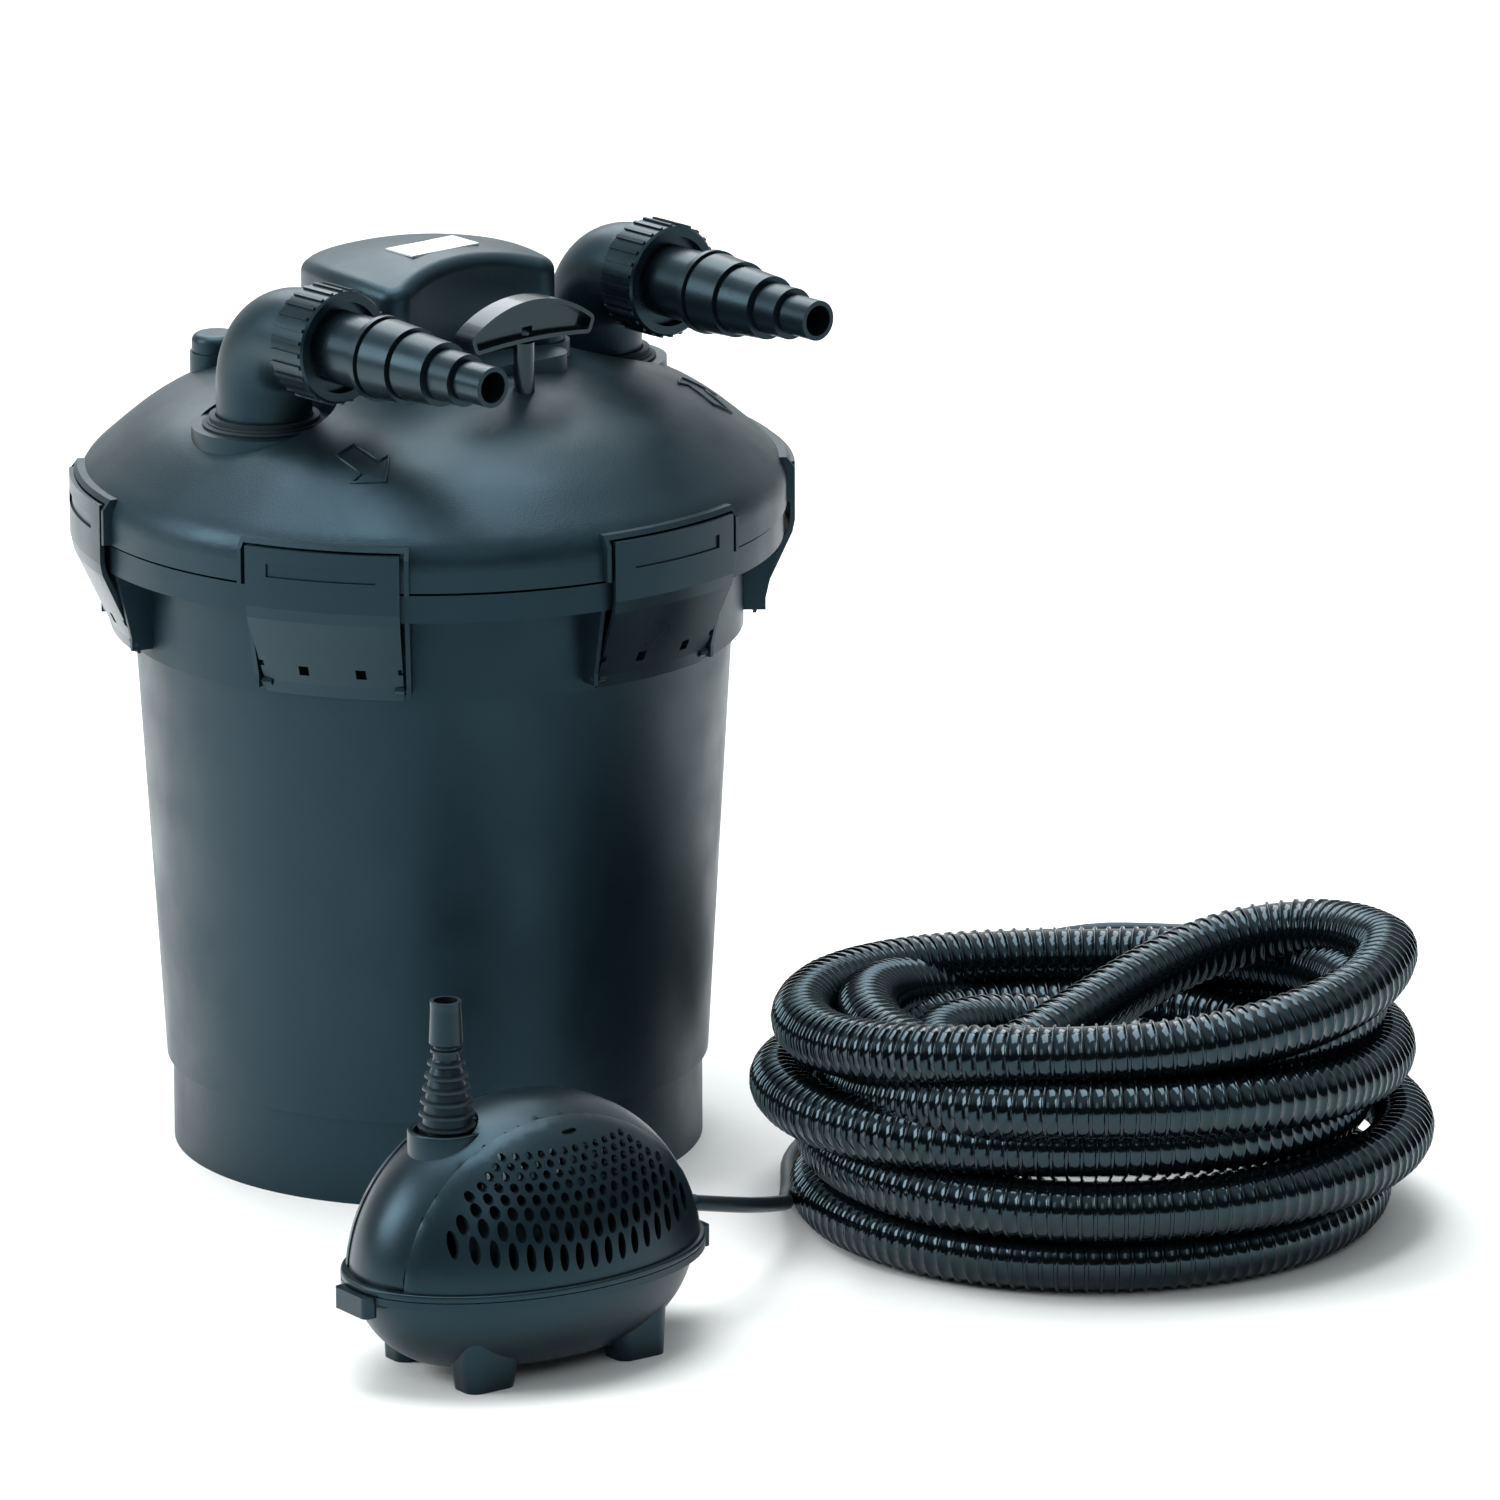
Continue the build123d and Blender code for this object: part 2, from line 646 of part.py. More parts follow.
def make_tail(side):
    """Stepped hose tail: a flange held by the nut, a neck, then one barb a hose size."""
    flange_start = gasket_start() + gasket_thickness
    flange_end = nut_front() - nut_lip - 0.1
    neck_end = nut_front() + neck_length
    outline = [(thread_radius - 0.2, flange_start), (thread_radius - 0.2, flange_end), (neck_radius, flange_end),
               (neck_radius, neck_end)]
    height = neck_end
    for rear, front, length in tail_steps:
        outline += [(rear - tail_groove, height), (rear - tail_groove, height + 1.4), (rear, height + 1.8),
                    (front, height + length)]
        height += length
    last_front = tail_steps[-1][1]
    outline += [(last_front - tail_wall, height)]
    bore_start = tail_steps[1][1] - 2 * tail_wall
    outline += [(last_front - tail_wall, height - tail_steps[-1][2]), (bore_start, neck_end + 6), (bore_start, flange_start)]
    return along_union(side, turned(outline))


def make_rinse_cap():
    """Screw cap of the rinsing outlet, low on the back of the lid."""
    x, y = rinse_place()
    seat = rinse_seat() + 0.1
    cap = disc(rinse_boss_radius - 1, seat, seat + 9, x, y)
    cap = fillet(cap.edges().sort_by(Axis.Z)[-1], 4)
    return cap + disc(rinse_bore_radius - hinge_clearance, seat - 14, seat, x, y)


# ---------------------------------------------------------------- pump
def at_pump(piece):
    return Pos(pump_x, pump_y, 0) * Rot(0, 0, pump_turn) * piece


def along_pump(piece, height=motor_height):
    """A piece drawn along +Z, laid along the pump's length at a height."""
    return Pos(0, 0, height) * Rot(0, 90, 0) * piece


def dome(grow):
    """Upper half of the pump's egg shape, grown or drawn in all round."""
    egg = scale(Sphere(1), by=(pump_half_length + grow, pump_half_width + grow, pump_top - pump_seam + grow))
    return Pos(0, 0, pump_seam) * (egg & Pos(0, 0, pump_top) * Box(4 * pump_top, 4 * pump_top, 2 * pump_top))


def ellipse_slab(grow, bottom, top):
    return extrude(Pos(0, 0, bottom) * Ellipse(pump_half_length + grow, pump_half_width + grow), top - bottom)


def make_pump_cage():
    """Strainer cover: an egg-shaped shell with a smooth band along its top and slots down both sides."""
    band = dome(pump_band_rise) & Box(400, 2 * pump_band_half_width, 400)
    shell = dome(0) + band + ellipse_slab(pump_flange, pump_seam, pump_seam + pump_flange_height)
    pocket = pump_hole_radius + 2.5
    shell -= disc(pocket, outlet_pocket_floor, pump_top + 10, outlet_u)
    inside = dome(-pump_wall)
    inside -= disc(pocket + pump_wall, outlet_pocket_floor - pump_wall, pump_top + 10, outlet_u)
    shell -= inside
    slots = []
    for side in (-1, 1):
        for number in range(pump_slots):
            u = (number - (pump_slots - 1) / 2) * pump_slot_pitch
            height = 0.62 * (pump_top - pump_seam) * math.sqrt(1 - (u / pump_half_length) ** 2) - 8
            v = side * (pump_band_half_width + 1 + pump_half_width / 2)
            middle = pump_seam + 12 + height / 2
            slots.append(Pos(u, v, middle) * Box(pump_slot_width, pump_half_width, height))
    shell -= slots
    shell -= disc(pump_hole_radius, motor_height, pump_top, outlet_u)
    notch_width = 2 * gland_radius() + 1
    shell -= Pos(pump_half_length, 0, (gland_z() + pump_seam) / 2 - 1) * Box(40, notch_width, gland_z() - pump_seam + 2)
    shell -= along_pump(disc(gland_radius() + 0.5, pump_half_length - 20, pump_half_length + 20), gland_z())
    return at_pump(shell)


def gland_z():
    return pump_seam + 7.5


def gland_radius():
    return 6.0


def make_pump_tray():
    """Lower bowl with its flange, end lugs, four feet and the motor's two cradles."""
    def bowl(inset):
        lower = Pos(0, 0, 9 + inset) * Ellipse(0.70 * pump_half_length - inset, 0.66 * pump_half_width - inset)
        middle = Pos(0, 0, 24 + 0.5 * inset) * Ellipse(0.90 * pump_half_length - inset, 0.89 * pump_half_width - inset)
        upper = Pos(0, 0, pump_seam) * Ellipse(pump_half_length - inset, pump_half_width - inset)
        return loft([lower, middle, upper])
    body = bowl(0)
    for u in (-foot_u, foot_u):
        for v in (-foot_v, foot_v):
            foot = loft([Pos(u, v, 0) * RectangleRounded(26, 18, 6),
                         Pos(0.93 * u, 0.90 * v, 30) * RectangleRounded(36, 27, 9)])
            body += foot & ellipse_slab(0, 0, pump_seam)
    body -= bowl(pump_wall)
    body += ellipse_slab(pump_flange, pump_seam - pump_flange_height, pump_seam) - ellipse_slab(-pump_wall, 0, 200)
    for side in (-1, 1):
        lug = Pos(side * (pump_half_length + pump_flange), 0, pump_seam - 5) * Box(8, 26, 10)
        body += fillet(lug.edges().filter_by(Axis.Z), 3) - ellipse_slab(0, 0, pump_seam)
    for u in (0, 42):
        cradle = Pos(u, 0, 28) * Box(6, 34, 34) & bowl(0.5)
        body += cradle - along_pump(disc(motor_radius, -100, 100))
    return at_pump(body)


def make_pump_motor():
    """Sealed motor block, hollow down its middle for the rotor."""
    body = disc(motor_radius, outlet_u + volute_length / 2, 58)
    body -= disc(10.0, outlet_u, 50)
    body -= disc(shaft_radius, 0, 54)
    return at_pump(along_pump(body))


def make_pump_volute():
    """Impeller housing with its suction eye and the upright outlet."""
    front = outlet_u - volute_length / 2
    back = outlet_u + volute_length / 2
    body = along_pump(disc(volute_radius, front, back)) + disc(outlet_radius, motor_height, pump_nut_top(), outlet_u)
    body -= along_pump(disc(impeller_radius + 2.5, front + pump_wall, back + 1))
    body -= along_pump(disc(9.0, front - 1, front + 10))
    body -= disc(outlet_radius - 2.5, motor_height, pump_nut_top() + 1, outlet_u)
    return at_pump(body)


def pump_nut_top():
    return outlet_pocket_floor + 0.5 + pump_nut_height


def make_pump_rotor():
    """Impeller and magnet in one, turning on the fixed shaft."""
    start = outlet_u - volute_length / 2 + pump_wall + 4
    back = outlet_u + volute_length / 2
    body = disc(impeller_radius, back - 4, back - 1) + disc(9.0, back - 4, 48)
    for number in range(6):
        vane = Box(13, 1.6, back - 3 - start, align=(Align.CENTER, Align.CENTER, Align.MIN))
        place = Rot(0, 0, 60 * number) * Pos(impeller_radius / 2 + 1, 0, start) * Rot(0, 0, 25)
        body += (place * vane) & disc(impeller_radius, start, back)
    body += disc(5, start, back)
    body -= disc(shaft_radius + shaft_clearance, start - 5, 60)
    return at_pump(along_pump(body))


def make_pump_shaft():
    start = outlet_u - volute_length / 2 + pump_wall + 3
    return at_pump(along_pump(disc(shaft_radius, start, 54)))


def make_pump_nut():
    bottom = outlet_pocket_floor + 0.5
    body = tube(pump_nut_radius, outlet_radius + nut_clearance, bottom, pump_nut_top(), outlet_u)
    rib = Pos(pump_nut_radius, 0, bottom + pump_nut_height / 2) * Box(1.6, 1.4, pump_nut_height - 1.5)
    body += [Pos(outlet_u, 0, 0) * Rot(0, 0, i * 360 / pump_nut_ribs) * rib for i in range(pump_nut_ribs)]
    return at_pump(body)


def make_pump_tail():
    """Soft ringed hose tail, tapering up to its smallest size."""
    bottom = pump_nut_top()
    ring_pitch = 6.0
    outline = [(pump_tail_root_radius - 3.2, bottom), (pump_tail_root_radius, bottom)]
    for number in range(pump_tail_rings):
        radius = pump_tail_root_radius - number * 0.5 - 0.09 * number ** 2
        foot = bottom + 1 + number * ring_pitch
        outline += [(radius, foot), (radius + 2.3, foot + 0.7), (radius + 2.3, foot + 1.9), (radius, foot + 2.6)]
    top = bottom + pump_tail_height
    shoulder = bottom + pump_tail_rings * ring_pitch
    outline += [(pump_tail_tip_radius + 0.6, shoulder), (pump_tail_tip_radius - 0.1, top - 4), (pump_tail_tip_radius, top),
                (pump_tail_tip_radius - 1.6, top), (pump_tail_tip_radius - 1.6, shoulder)]
    return at_pump(Pos(outlet_u, 0, 0) * turned(outline))


def gland_end():
    return pump_half_length + 9.0


def make_pump_gland():
    body = disc(4.2, 58, gland_end()) + disc(gland_radius(), pump_half_length - 8, pump_half_length + 4)
    return at_pump(along_pump(body, gland_z()))


# ---------------------------------------------------------------- hose, cable and plug
def make_hose_coil():
    ring = turned([
        (hose_inner_radius, 0), (hose_foot_radius, 0), (hose_side_radius, 12), (hose_side_radius, hose_diameter),
        (hose_outer_radius, 1.6 * hose_diameter), (hose_outer_radius, hose_high_height),
        (hose_inner_radius, hose_high_height)])
    lean = math.degrees(math.atan2(hose_high_height - hose_low_height, 2 * hose_outer_radius))
    middle = (hose_high_height + hose_low_height) / 2
    above = Pos(0, 0, middle) * Rot(0, 0, -40) * Rot(0, -lean, 0) * Pos(0, 0, 100) * Box(600, 600, 200)
    return Pos(hose_x, hose_y, 0) * (ring - above)


def make_pump_cable():
    """The cable as straight runs joined by arcs, each as large as its two runs allow."""
    exit_point = at_pump(Pos(gland_end(), 0, gland_z())).position
    points = [exit_point] + [Vector(*point) for point in cable_points]
    radii = []
    for before, here, after in zip(points, points[1:], points[2:]):
        run = min((here - before).length, (after - here).length)
        turn = math.radians((here - before).get_angle(after - here))
        radii.append(0.45 * run / math.tan(turn / 2))
    print("cable arc radii", [round(radius) for radius in radii])
    path = FilletPolyline(*points, radius=radii)
    section = Plane(origin=points[0], z_dir=points[1] - points[0]) * Circle(cable_diameter / 2)
    tube_solid = sweep(section, path=path)
    expected = math.pi * cable_diameter ** 2 / 4 * path.length
    print("cable length", round(path.length), "volume share", round(tube_solid.volume / expected, 4))
    return tube_solid


def make_cable_coil():
    return tube(cable_coil_outer, cable_coil_inner, 0, cable_coil_height, cable_coil_x, cable_coil_y)


def at_plug(piece):
    """A piece drawn along +Z from the plug's face to its relief, laid along X on top of the coil."""
    middle = (cable_coil_outer + cable_coil_inner) / 2
    rest = cable_coil_height + plug_radius
    return Pos(cable_coil_x - 0.6 * plug_length, cable_coil_y - middle, rest) * Rot(0, 90, 0) * piece


def make_mains_plug():
    body = disc(plug_radius, 0, plug_length)
    body = fillet(body.edges(), 3)
    relief = turned([(0, plug_length - 4), (7.5, plug_length - 4), (5.0, plug_length + plug_relief), (0, plug_length + plug_relief)])
    return at_plug(body + relief - [disc(2.4, -1, 6, 0, y) for y in (-9.5, 9.5)])


def make_plug_pins():
    return Compound(children=[at_plug(disc(2.4, -pin_reach, 6, 0, y)) for y in (-9.5, 9.5)])


# ---------------------------------------------------------------- all nodes
def nodes():
    yield "tank", make_tank()
    yield "lid_seal", make_lid_seal()
    yield "tank_lid", make_lid()
    for number in range(clip_count):
        yield f"clip_{number + 1}", at_clip(number, make_clip())
    yield "clip_pins", make_clip_pins()
    yield "head_housing", make_head_housing()
    yield "head_label", make_head_label()
    yield "head_screws", make_head_screws()
    yield "head_gland", make_head_gland()
    yield "ballast", make_ballast()
    yield "lamp_socket", make_lamp_socket()
    yield "uvc_lamp", make_uvc_lamp()
    yield "quartz_sleeve", make_quartz_sleeve()
    yield "sleeve_nut", make_sleeve_nut()
    yield "handle_grip", make_handle_grip()
    yield "handle_rod", make_handle_rod()
    yield "rod_seal", make_rod_seal()
    yield "press_plate", make_press_plate()
    for number in range(foam_count):
        yield f"foam_{number + 1}", make_foam(number)
    yield "foam_cage", make_foam_cage()
    yield "inlet_pipe", make_inlet_pipe()
    yield "rinse_cap", make_rinse_cap()
    for name, side in (("outlet", -1), ("inlet", 1)):
        yield f"{name}_swivel_ring", make_swivel_ring(side)
        yield f"{name}_elbow", make_elbow(side)
        yield f"{name}_elbow_seal", make_elbow_seal(side)
        yield f"{name}_gasket", make_gasket(side)
        yield f"{name}_nut", make_nut(side)
        yield f"{name}_tail", make_tail(side)
    yield "pump_tray", make_pump_tray()
    yield "pump_cage", make_pump_cage()
    yield "pump_motor", make_pump_motor()
    yield "pump_volute", make_pump_volute()
    yield "pump_rotor", make_pump_rotor()
    yield "pump_shaft", make_pump_shaft()
    yield "pump_nut", make_pump_nut()
    yield "pump_tail", make_pump_tail()
    yield "pump_gland", make_pump_gland()
    yield "hose_coil", make_hose_coil()
    yield "pump_cable", make_pump_cable()
    yield "cable_coil", make_cable_coil()
    yield "mains_plug", make_mains_plug()
    yield "plug_pins", make_plug_pins()


os.makedirs("parts", exist_ok=True)
for node, shape in nodes():
    export_step(shape, f"parts/{node}.step")
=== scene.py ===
"""Looks of the pressure pond filter: tank, clipped lid, hose unions, pump, spiral hose and pump cable."""
import bpy
import math
from mathutils import Matrix, Vector


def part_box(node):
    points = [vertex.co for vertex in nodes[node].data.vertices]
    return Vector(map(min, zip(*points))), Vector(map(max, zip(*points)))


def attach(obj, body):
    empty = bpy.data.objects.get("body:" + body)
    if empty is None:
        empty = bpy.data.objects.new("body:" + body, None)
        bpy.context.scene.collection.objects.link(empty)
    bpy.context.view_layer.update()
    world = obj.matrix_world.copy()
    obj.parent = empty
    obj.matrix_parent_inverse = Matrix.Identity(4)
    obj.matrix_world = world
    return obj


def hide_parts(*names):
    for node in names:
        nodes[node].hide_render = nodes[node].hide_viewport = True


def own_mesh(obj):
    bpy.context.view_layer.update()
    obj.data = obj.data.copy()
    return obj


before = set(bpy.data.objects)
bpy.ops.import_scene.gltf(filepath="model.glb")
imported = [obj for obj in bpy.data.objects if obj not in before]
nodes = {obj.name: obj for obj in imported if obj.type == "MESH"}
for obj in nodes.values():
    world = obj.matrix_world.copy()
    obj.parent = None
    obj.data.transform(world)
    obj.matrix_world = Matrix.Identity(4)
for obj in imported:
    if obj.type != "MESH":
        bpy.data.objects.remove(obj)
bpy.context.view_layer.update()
bpy.ops.object.select_all(action="DESELECT")


# ---------------------------------------------------------------- Camera
# A long lens stands about six metres off and a little above, 40 degrees round from the front of the tank.
# The tank's foot is at the origin, with the hose tails and the handle facing -Y.
eye = bpy.data.objects.new("studio_camera", bpy.data.cameras.new("studio_camera"))
bpy.context.collection.objects.link(eye)
eye.data.sensor_width = 36.0
eye.data.lens = 324.7
eye.data.clip_end = 60.0
eye.matrix_world = (Matrix.Translation((-3.944, -4.938, 1.967)) @ Matrix.Rotation(math.radians(-40), 4, "Z")
                    @ Matrix.Rotation(math.radians(74.30), 4, "X") @ Matrix.Rotation(math.radians(-0.20), 4, "Z"))
bpy.context.scene.camera = eye


# ---------------------------------------------------------------- Spiral hose
# Five metres of 30 mm black spiral hose, wound up loosely on the ground with its free end tucked into the ring.
# Each turn is given by its radius and height at the ring's left, front, right and back, and eased between them.
hose_centre = Vector((0.1526, -0.3082))
hose_turns = [
    ((0.132, 0.015), (0.127, 0.015), (0.132, 0.015), (0.128, 0.017)),
    ((0.129, 0.043), (0.141, 0.044), (0.153, 0.045), (0.130, 0.044)),
    ((0.152, 0.067), (0.131, 0.072), (0.122, 0.062), (0.110, 0.069)),
    ((0.117, 0.073), (0.145, 0.095), (0.143, 0.084), (0.139, 0.073)),
    ((0.108, 0.100), (0.109, 0.098), (0.130, 0.107), (0.124, 0.090)),
    ((0.141, 0.098), (0.133, 0.118), (0.143, 0.130)),
]
hose_end = [(0.137, 0.026, 0.127), (0.126, 0.050, 0.124), (0.108, 0.067, 0.121), (0.082, 0.070, 0.118),
            (0.054, 0.056, 0.114), (0.028, 0.030, 0.109), (0.002, -0.003, 0.103), (-0.022, -0.036, 0.098),
            (-0.044, -0.056, 0.092), (-0.064, -0.044, 0.088), (-0.074, -0.014, 0.086), (-0.069, 0.018, 0.084),
            (-0.047, 0.044, 0.081), (-0.014, 0.056, 0.076), (0.018, 0.052, 0.069), (0.046, 0.034, 0.061)]
quarter_points = 4


def on_ring(radius, angle, height):
    """A point of the ring, with the angle counted from the ring's right as the camera sees it."""
    turn = math.radians(angle - 40)
    return Vector((hose_centre.x + radius * math.cos(turn), hose_centre.y + radius * math.sin(turn), height))


def smooth_cord(name, points, thickness, fill=True):
    """One open NURBS cord through its control points."""
    curve = bpy.data.curves.new(name, "CURVE")
    curve.dimensions = "3D"
    curve.resolution_u = 6
    line = curve.splines.new("NURBS")
    line.points.add(len(points) - 1)
    for point, place in zip(line.points, points):
        point.co = (*place, 1)
    line.order_u = 3
    line.use_endpoint_u = True
    curve.bevel_depth = thickness / 2
    curve.bevel_resolution = 3
    curve.use_fill_caps = fill
    cord = bpy.data.objects.new(name, curve)
    bpy.context.collection.objects.link(cord)
    return cord


inner_start = (0.112, 0.015)
stations = [inner_start, *(station for turn in hose_turns for station in turn)]
route = []
for number in range(len(stations) - 1):
    (r0, z0), (r1, z1) = stations[number], stations[number + 1]
    for step in range(quarter_points):
        ease = (1 - math.cos(math.pi * step / quarter_points)) / 2
        angle = 90 + 90 * (number + step / quarter_points)
        route.append(on_ring(r0 + (r1 - r0) * ease, angle, z0 + (z1 - z0) * ease))
route.append(on_ring(stations[-1][0], 0, stations[-1][1]))
for x, y, height in hose_end:
    route.append(on_ring(math.hypot(x, y), math.degrees(math.atan2(y, x)), height))
hose_line = smooth_cord("hose_line", route, 0)
drawn = bpy.data.meshes.new_from_object(hose_line)
hose_path = [vertex.co.copy() for vertex in drawn.vertices]
bpy.data.objects.remove(hose_line)

# Each rib is a raised spiral wire under a thin smooth wall: (share of the pitch, radius there)
rib_pitch = 0.0066
rib_profile = [(0.03, 0.0138), (0.66, 0.0138), (0.72, 0.0142), (0.77, 0.0150), (0.90, 0.0150), (0.96, 0.0142)]
hose_sides = 18
cut_back, bend_reach = 0.002, 0.012
wall, bore, bore_steps = 0.0022, 0.0112, (0.012, 0.018)
runs = [0.0]
for a, b in zip(hose_path, hose_path[1:]):
    runs.append(runs[-1] + (b - a).length)
hose_length = runs[-1]


def place_on_hose(distance, start):
    """The hose's centre and direction at a distance along it, searching on from an earlier segment."""
    while start < len(runs) - 2 and runs[start + 1] < distance:
        start += 1
    share = (distance - runs[start]) / max(runs[start + 1] - runs[start], 1e-9)
    return hose_path[start].lerp(hose_path[start + 1], share), start


hose_vertices, hose_faces = [], []
rib_count = int(hose_length / rib_pitch) - 1
side_way, segment = Vector((0, 0, 1)), 0
rings = []
for rib in range(rib_count):
    for share, radius in rib_profile:
        distance = (rib + share) * rib_pitch + cut_back
        centre, segment = place_on_hose(distance, segment)
        ahead, _ = place_on_hose(distance + bend_reach, segment)
        behind, _ = place_on_hose(max(distance - bend_reach, 0), max(segment - 30, 0))
        rings.append((centre, (ahead - behind).normalized(), radius))
# The two cut ends turn in by the wall and run back as an open bore
first, last = rings[0], rings[-1]
rings = [(first[0], first[1], first[2] - wall)] + rings + [(last[0], last[1], last[2] - wall)]
for step in bore_steps:
    rings.insert(0, (rings[0][0] + rings[0][1] * step, rings[0][1], bore))
    rings.append((rings[-1][0] - rings[-1][1] * step, rings[-1][1], bore))
for centre, direction, radius in rings:
    side_way = (side_way - direction * side_way.dot(direction)).normalized()
    across = direction.cross(side_way)
    for number in range(hose_sides):
        turn = 2 * math.pi * number / hose_sides
        hose_vertices.append(centre + radius * (math.cos(turn) * side_way + math.sin(turn) * across))
for ring in range(len(rings) - 1):
    for number in range(hose_sides):
        beside = (number + 1) % hose_sides
        low, high = ring * hose_sides, (ring + 1) * hose_sides
        hose_faces.append((low + number, low + beside, high + beside, high + number))
hose_faces.append(tuple(reversed(range(hose_sides))))
hose_faces.append(tuple(range((len(rings) - 1) * hose_sides, len(rings) * hose_sides)))
hose_mesh = bpy.data.meshes.new("spiral_hose")
hose_mesh.from_pydata(hose_vertices, [], hose_faces)
hose_mesh.polygons.foreach_set("use_smooth", [True] * len(hose_mesh.polygons))
hose = bpy.data.objects.new("spiral_hose", hose_mesh)
bpy.context.collection.objects.link(hose)


def shiny_plastic(name, colour, roughness, bump_scale, bump_depth, coat=0.0, tint=(0.40, 0.74, 0.95, 1)):
    """Moulded or extruded plastic: a fine surface grain, faint cloudy wear and uneven gloss."""
    material = bpy.data.materials.new(name)
    material.use_nodes = True
    tree = material.node_tree
    shader = tree.nodes["Principled BSDF"]
    place = tree.nodes.new("ShaderNodeTexCoord")
    grain = tree.nodes.new("ShaderNodeTexNoise")
    grain.inputs["Scale"].default_value = bump_scale
    grain.inputs["Detail"].default_value = 3.0
    cloud = tree.nodes.new("ShaderNodeTexNoise")
    cloud.inputs["Scale"].default_value = 26.0
    cloud.inputs["Detail"].default_value = 5.0
    tree.links.new(place.outputs["Object"], grain.inputs["Vector"])
    tree.links.new(place.outputs["Object"], cloud.inputs["Vector"])
    bump = tree.nodes.new("ShaderNodeBump")
    bump.inputs["Distance"].default_value = bump_depth
    bump.inputs["Strength"].default_value = 0.6
    tree.links.new(grain.outputs["Fac"], bump.inputs["Height"])
    tree.links.new(bump.outputs["Normal"], shader.inputs["Normal"])
    gloss = tree.nodes.new("ShaderNodeMapRange")
    gloss.inputs["From Min"].default_value = 0.3
    gloss.inputs["From Max"].default_value = 0.7
    gloss.inputs["To Min"].default_value = roughness * 0.85
    gloss.inputs["To Max"].default_value = roughness * 1.2
    tree.links.new(cloud.outputs["Fac"], gloss.inputs["Value"])
    tree.links.new(gloss.outputs["Result"], shader.inputs["Roughness"])
    shade = tree.nodes.new("ShaderNodeValToRGB")
    shade.color_ramp.elements[0].position = 0.30
    shade.color_ramp.elements[0].color = (*[0.86 * c for c in colour], 1)
    shade.color_ramp.elements[1].position = 0.72
    shade.color_ramp.elements[1].color = (*[min(1.0, 1.16 * c) for c in colour], 1)
    tree.links.new(cloud.outputs["Fac"], shade.inputs["Fac"])
    tree.links.new(shade.outputs["Color"], shader.inputs["Base Color"])
    shader.inputs["Specular Tint"].default_value = tint
    shader.inputs["Coat Weight"].default_value = coat
    shader.inputs["Coat Roughness"].default_value = 0.06
    return material


def dress(piece, material):
    """Puts one finish on the whole of a piece."""
    piece.data.materials.clear()
    piece.data.materials.append(material)


hose_plastic = shiny_plastic("hose_plastic", (0.0018, 0.0024, 0.0028), 0.13, 700, 0.00003, coat=0.2)
dress(hose, hose_plastic)
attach(hose, "tank")
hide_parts("hose_coil")


# ---------------------------------------------------------------- Pump cable
# Ten metres of 7.5 mm round rubber cable with a moulded mains plug on its end. It leaves the pump's gland, lies along
# the ground round the hose, and the rest is wound into a neat coil of five layers with the plug lying on top.
cable_width = 0.0075
on_ground = cable_width / 2
cable_route = [
    (-0.0943, -0.3095, 0.0555), (-0.0722, -0.3101, 0.050), (-0.0435, -0.2977, 0.041), (-0.0155, -0.2768, 0.031),
    (0.0103, -0.2514, 0.020), (0.0330, -0.2235, 0.009), (0.0586, -0.1954, on_ground), (0.0904, -0.1568, on_ground),
    (0.1270, -0.1340, on_ground), (0.1660, -0.1310, on_ground), (0.1960, -0.1360, on_ground),
    (0.2220, -0.1305, on_ground), (0.2380, -0.1130, on_ground),
]
coil_middle = Vector((0.325, -0.103))
coil_turns, coil_columns, turn_points = 22, 5, 16
coil_radius, coil_start = 0.0832, 172
column_pitch, layer_pitch = 0.00765, 0.0076
for number in range(coil_turns * turn_points + 5):
    turns = number / turn_points
    layer, along = divmod(turns, coil_columns)
    if layer % 2:
        along = coil_columns - along
    # Each layer's last stretch eases up on to the next
    climb = max(0.0, (turns % coil_columns) - (coil_columns - 0.5)) / 0.5
    radius = coil_radius - column_pitch * min(max(along - 0.5, 0), coil_columns - 1)
    angle = math.radians(coil_start - 360 * turns)
    cable_route.append((coil_middle.x + radius * math.cos(angle), coil_middle.y + radius * math.sin(angle),
                        on_ground + layer_pitch * (layer + climb)))
plug_low, plug_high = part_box("mains_plug")
plug_y, plug_z = (plug_low.y + plug_high.y) / 2, (plug_low.z + plug_high.z) / 2
into_plug = 0.006
cable_route += [(0.3810, -0.0470, 0.0385), (0.3990, -0.0850, 0.0425), (0.4020, -0.1150, 0.0475),
                (0.3970, -0.1420, 0.0525), (0.3850, plug_y + 0.006, plug_z), (0.3700, plug_y, plug_z),
                (plug_high.x - into_plug, plug_y, plug_z)]
cable = smooth_cord("pump_lead", cable_route, cable_width)
cable.data.resolution_u = 4
cable_rubber = shiny_plastic("cable_rubber", (0.006, 0.007, 0.008), 0.42, 1100, 0.00005)
dress(cable, cable_rubber)
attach(cable, "tank")
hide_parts("pump_cable", "cable_coil")

plug_plastic = shiny_plastic("plug_plastic", (0.008, 0.009, 0.010), 0.38, 1500, 0.00006)
dress(nodes["mains_plug"], plug_plastic)


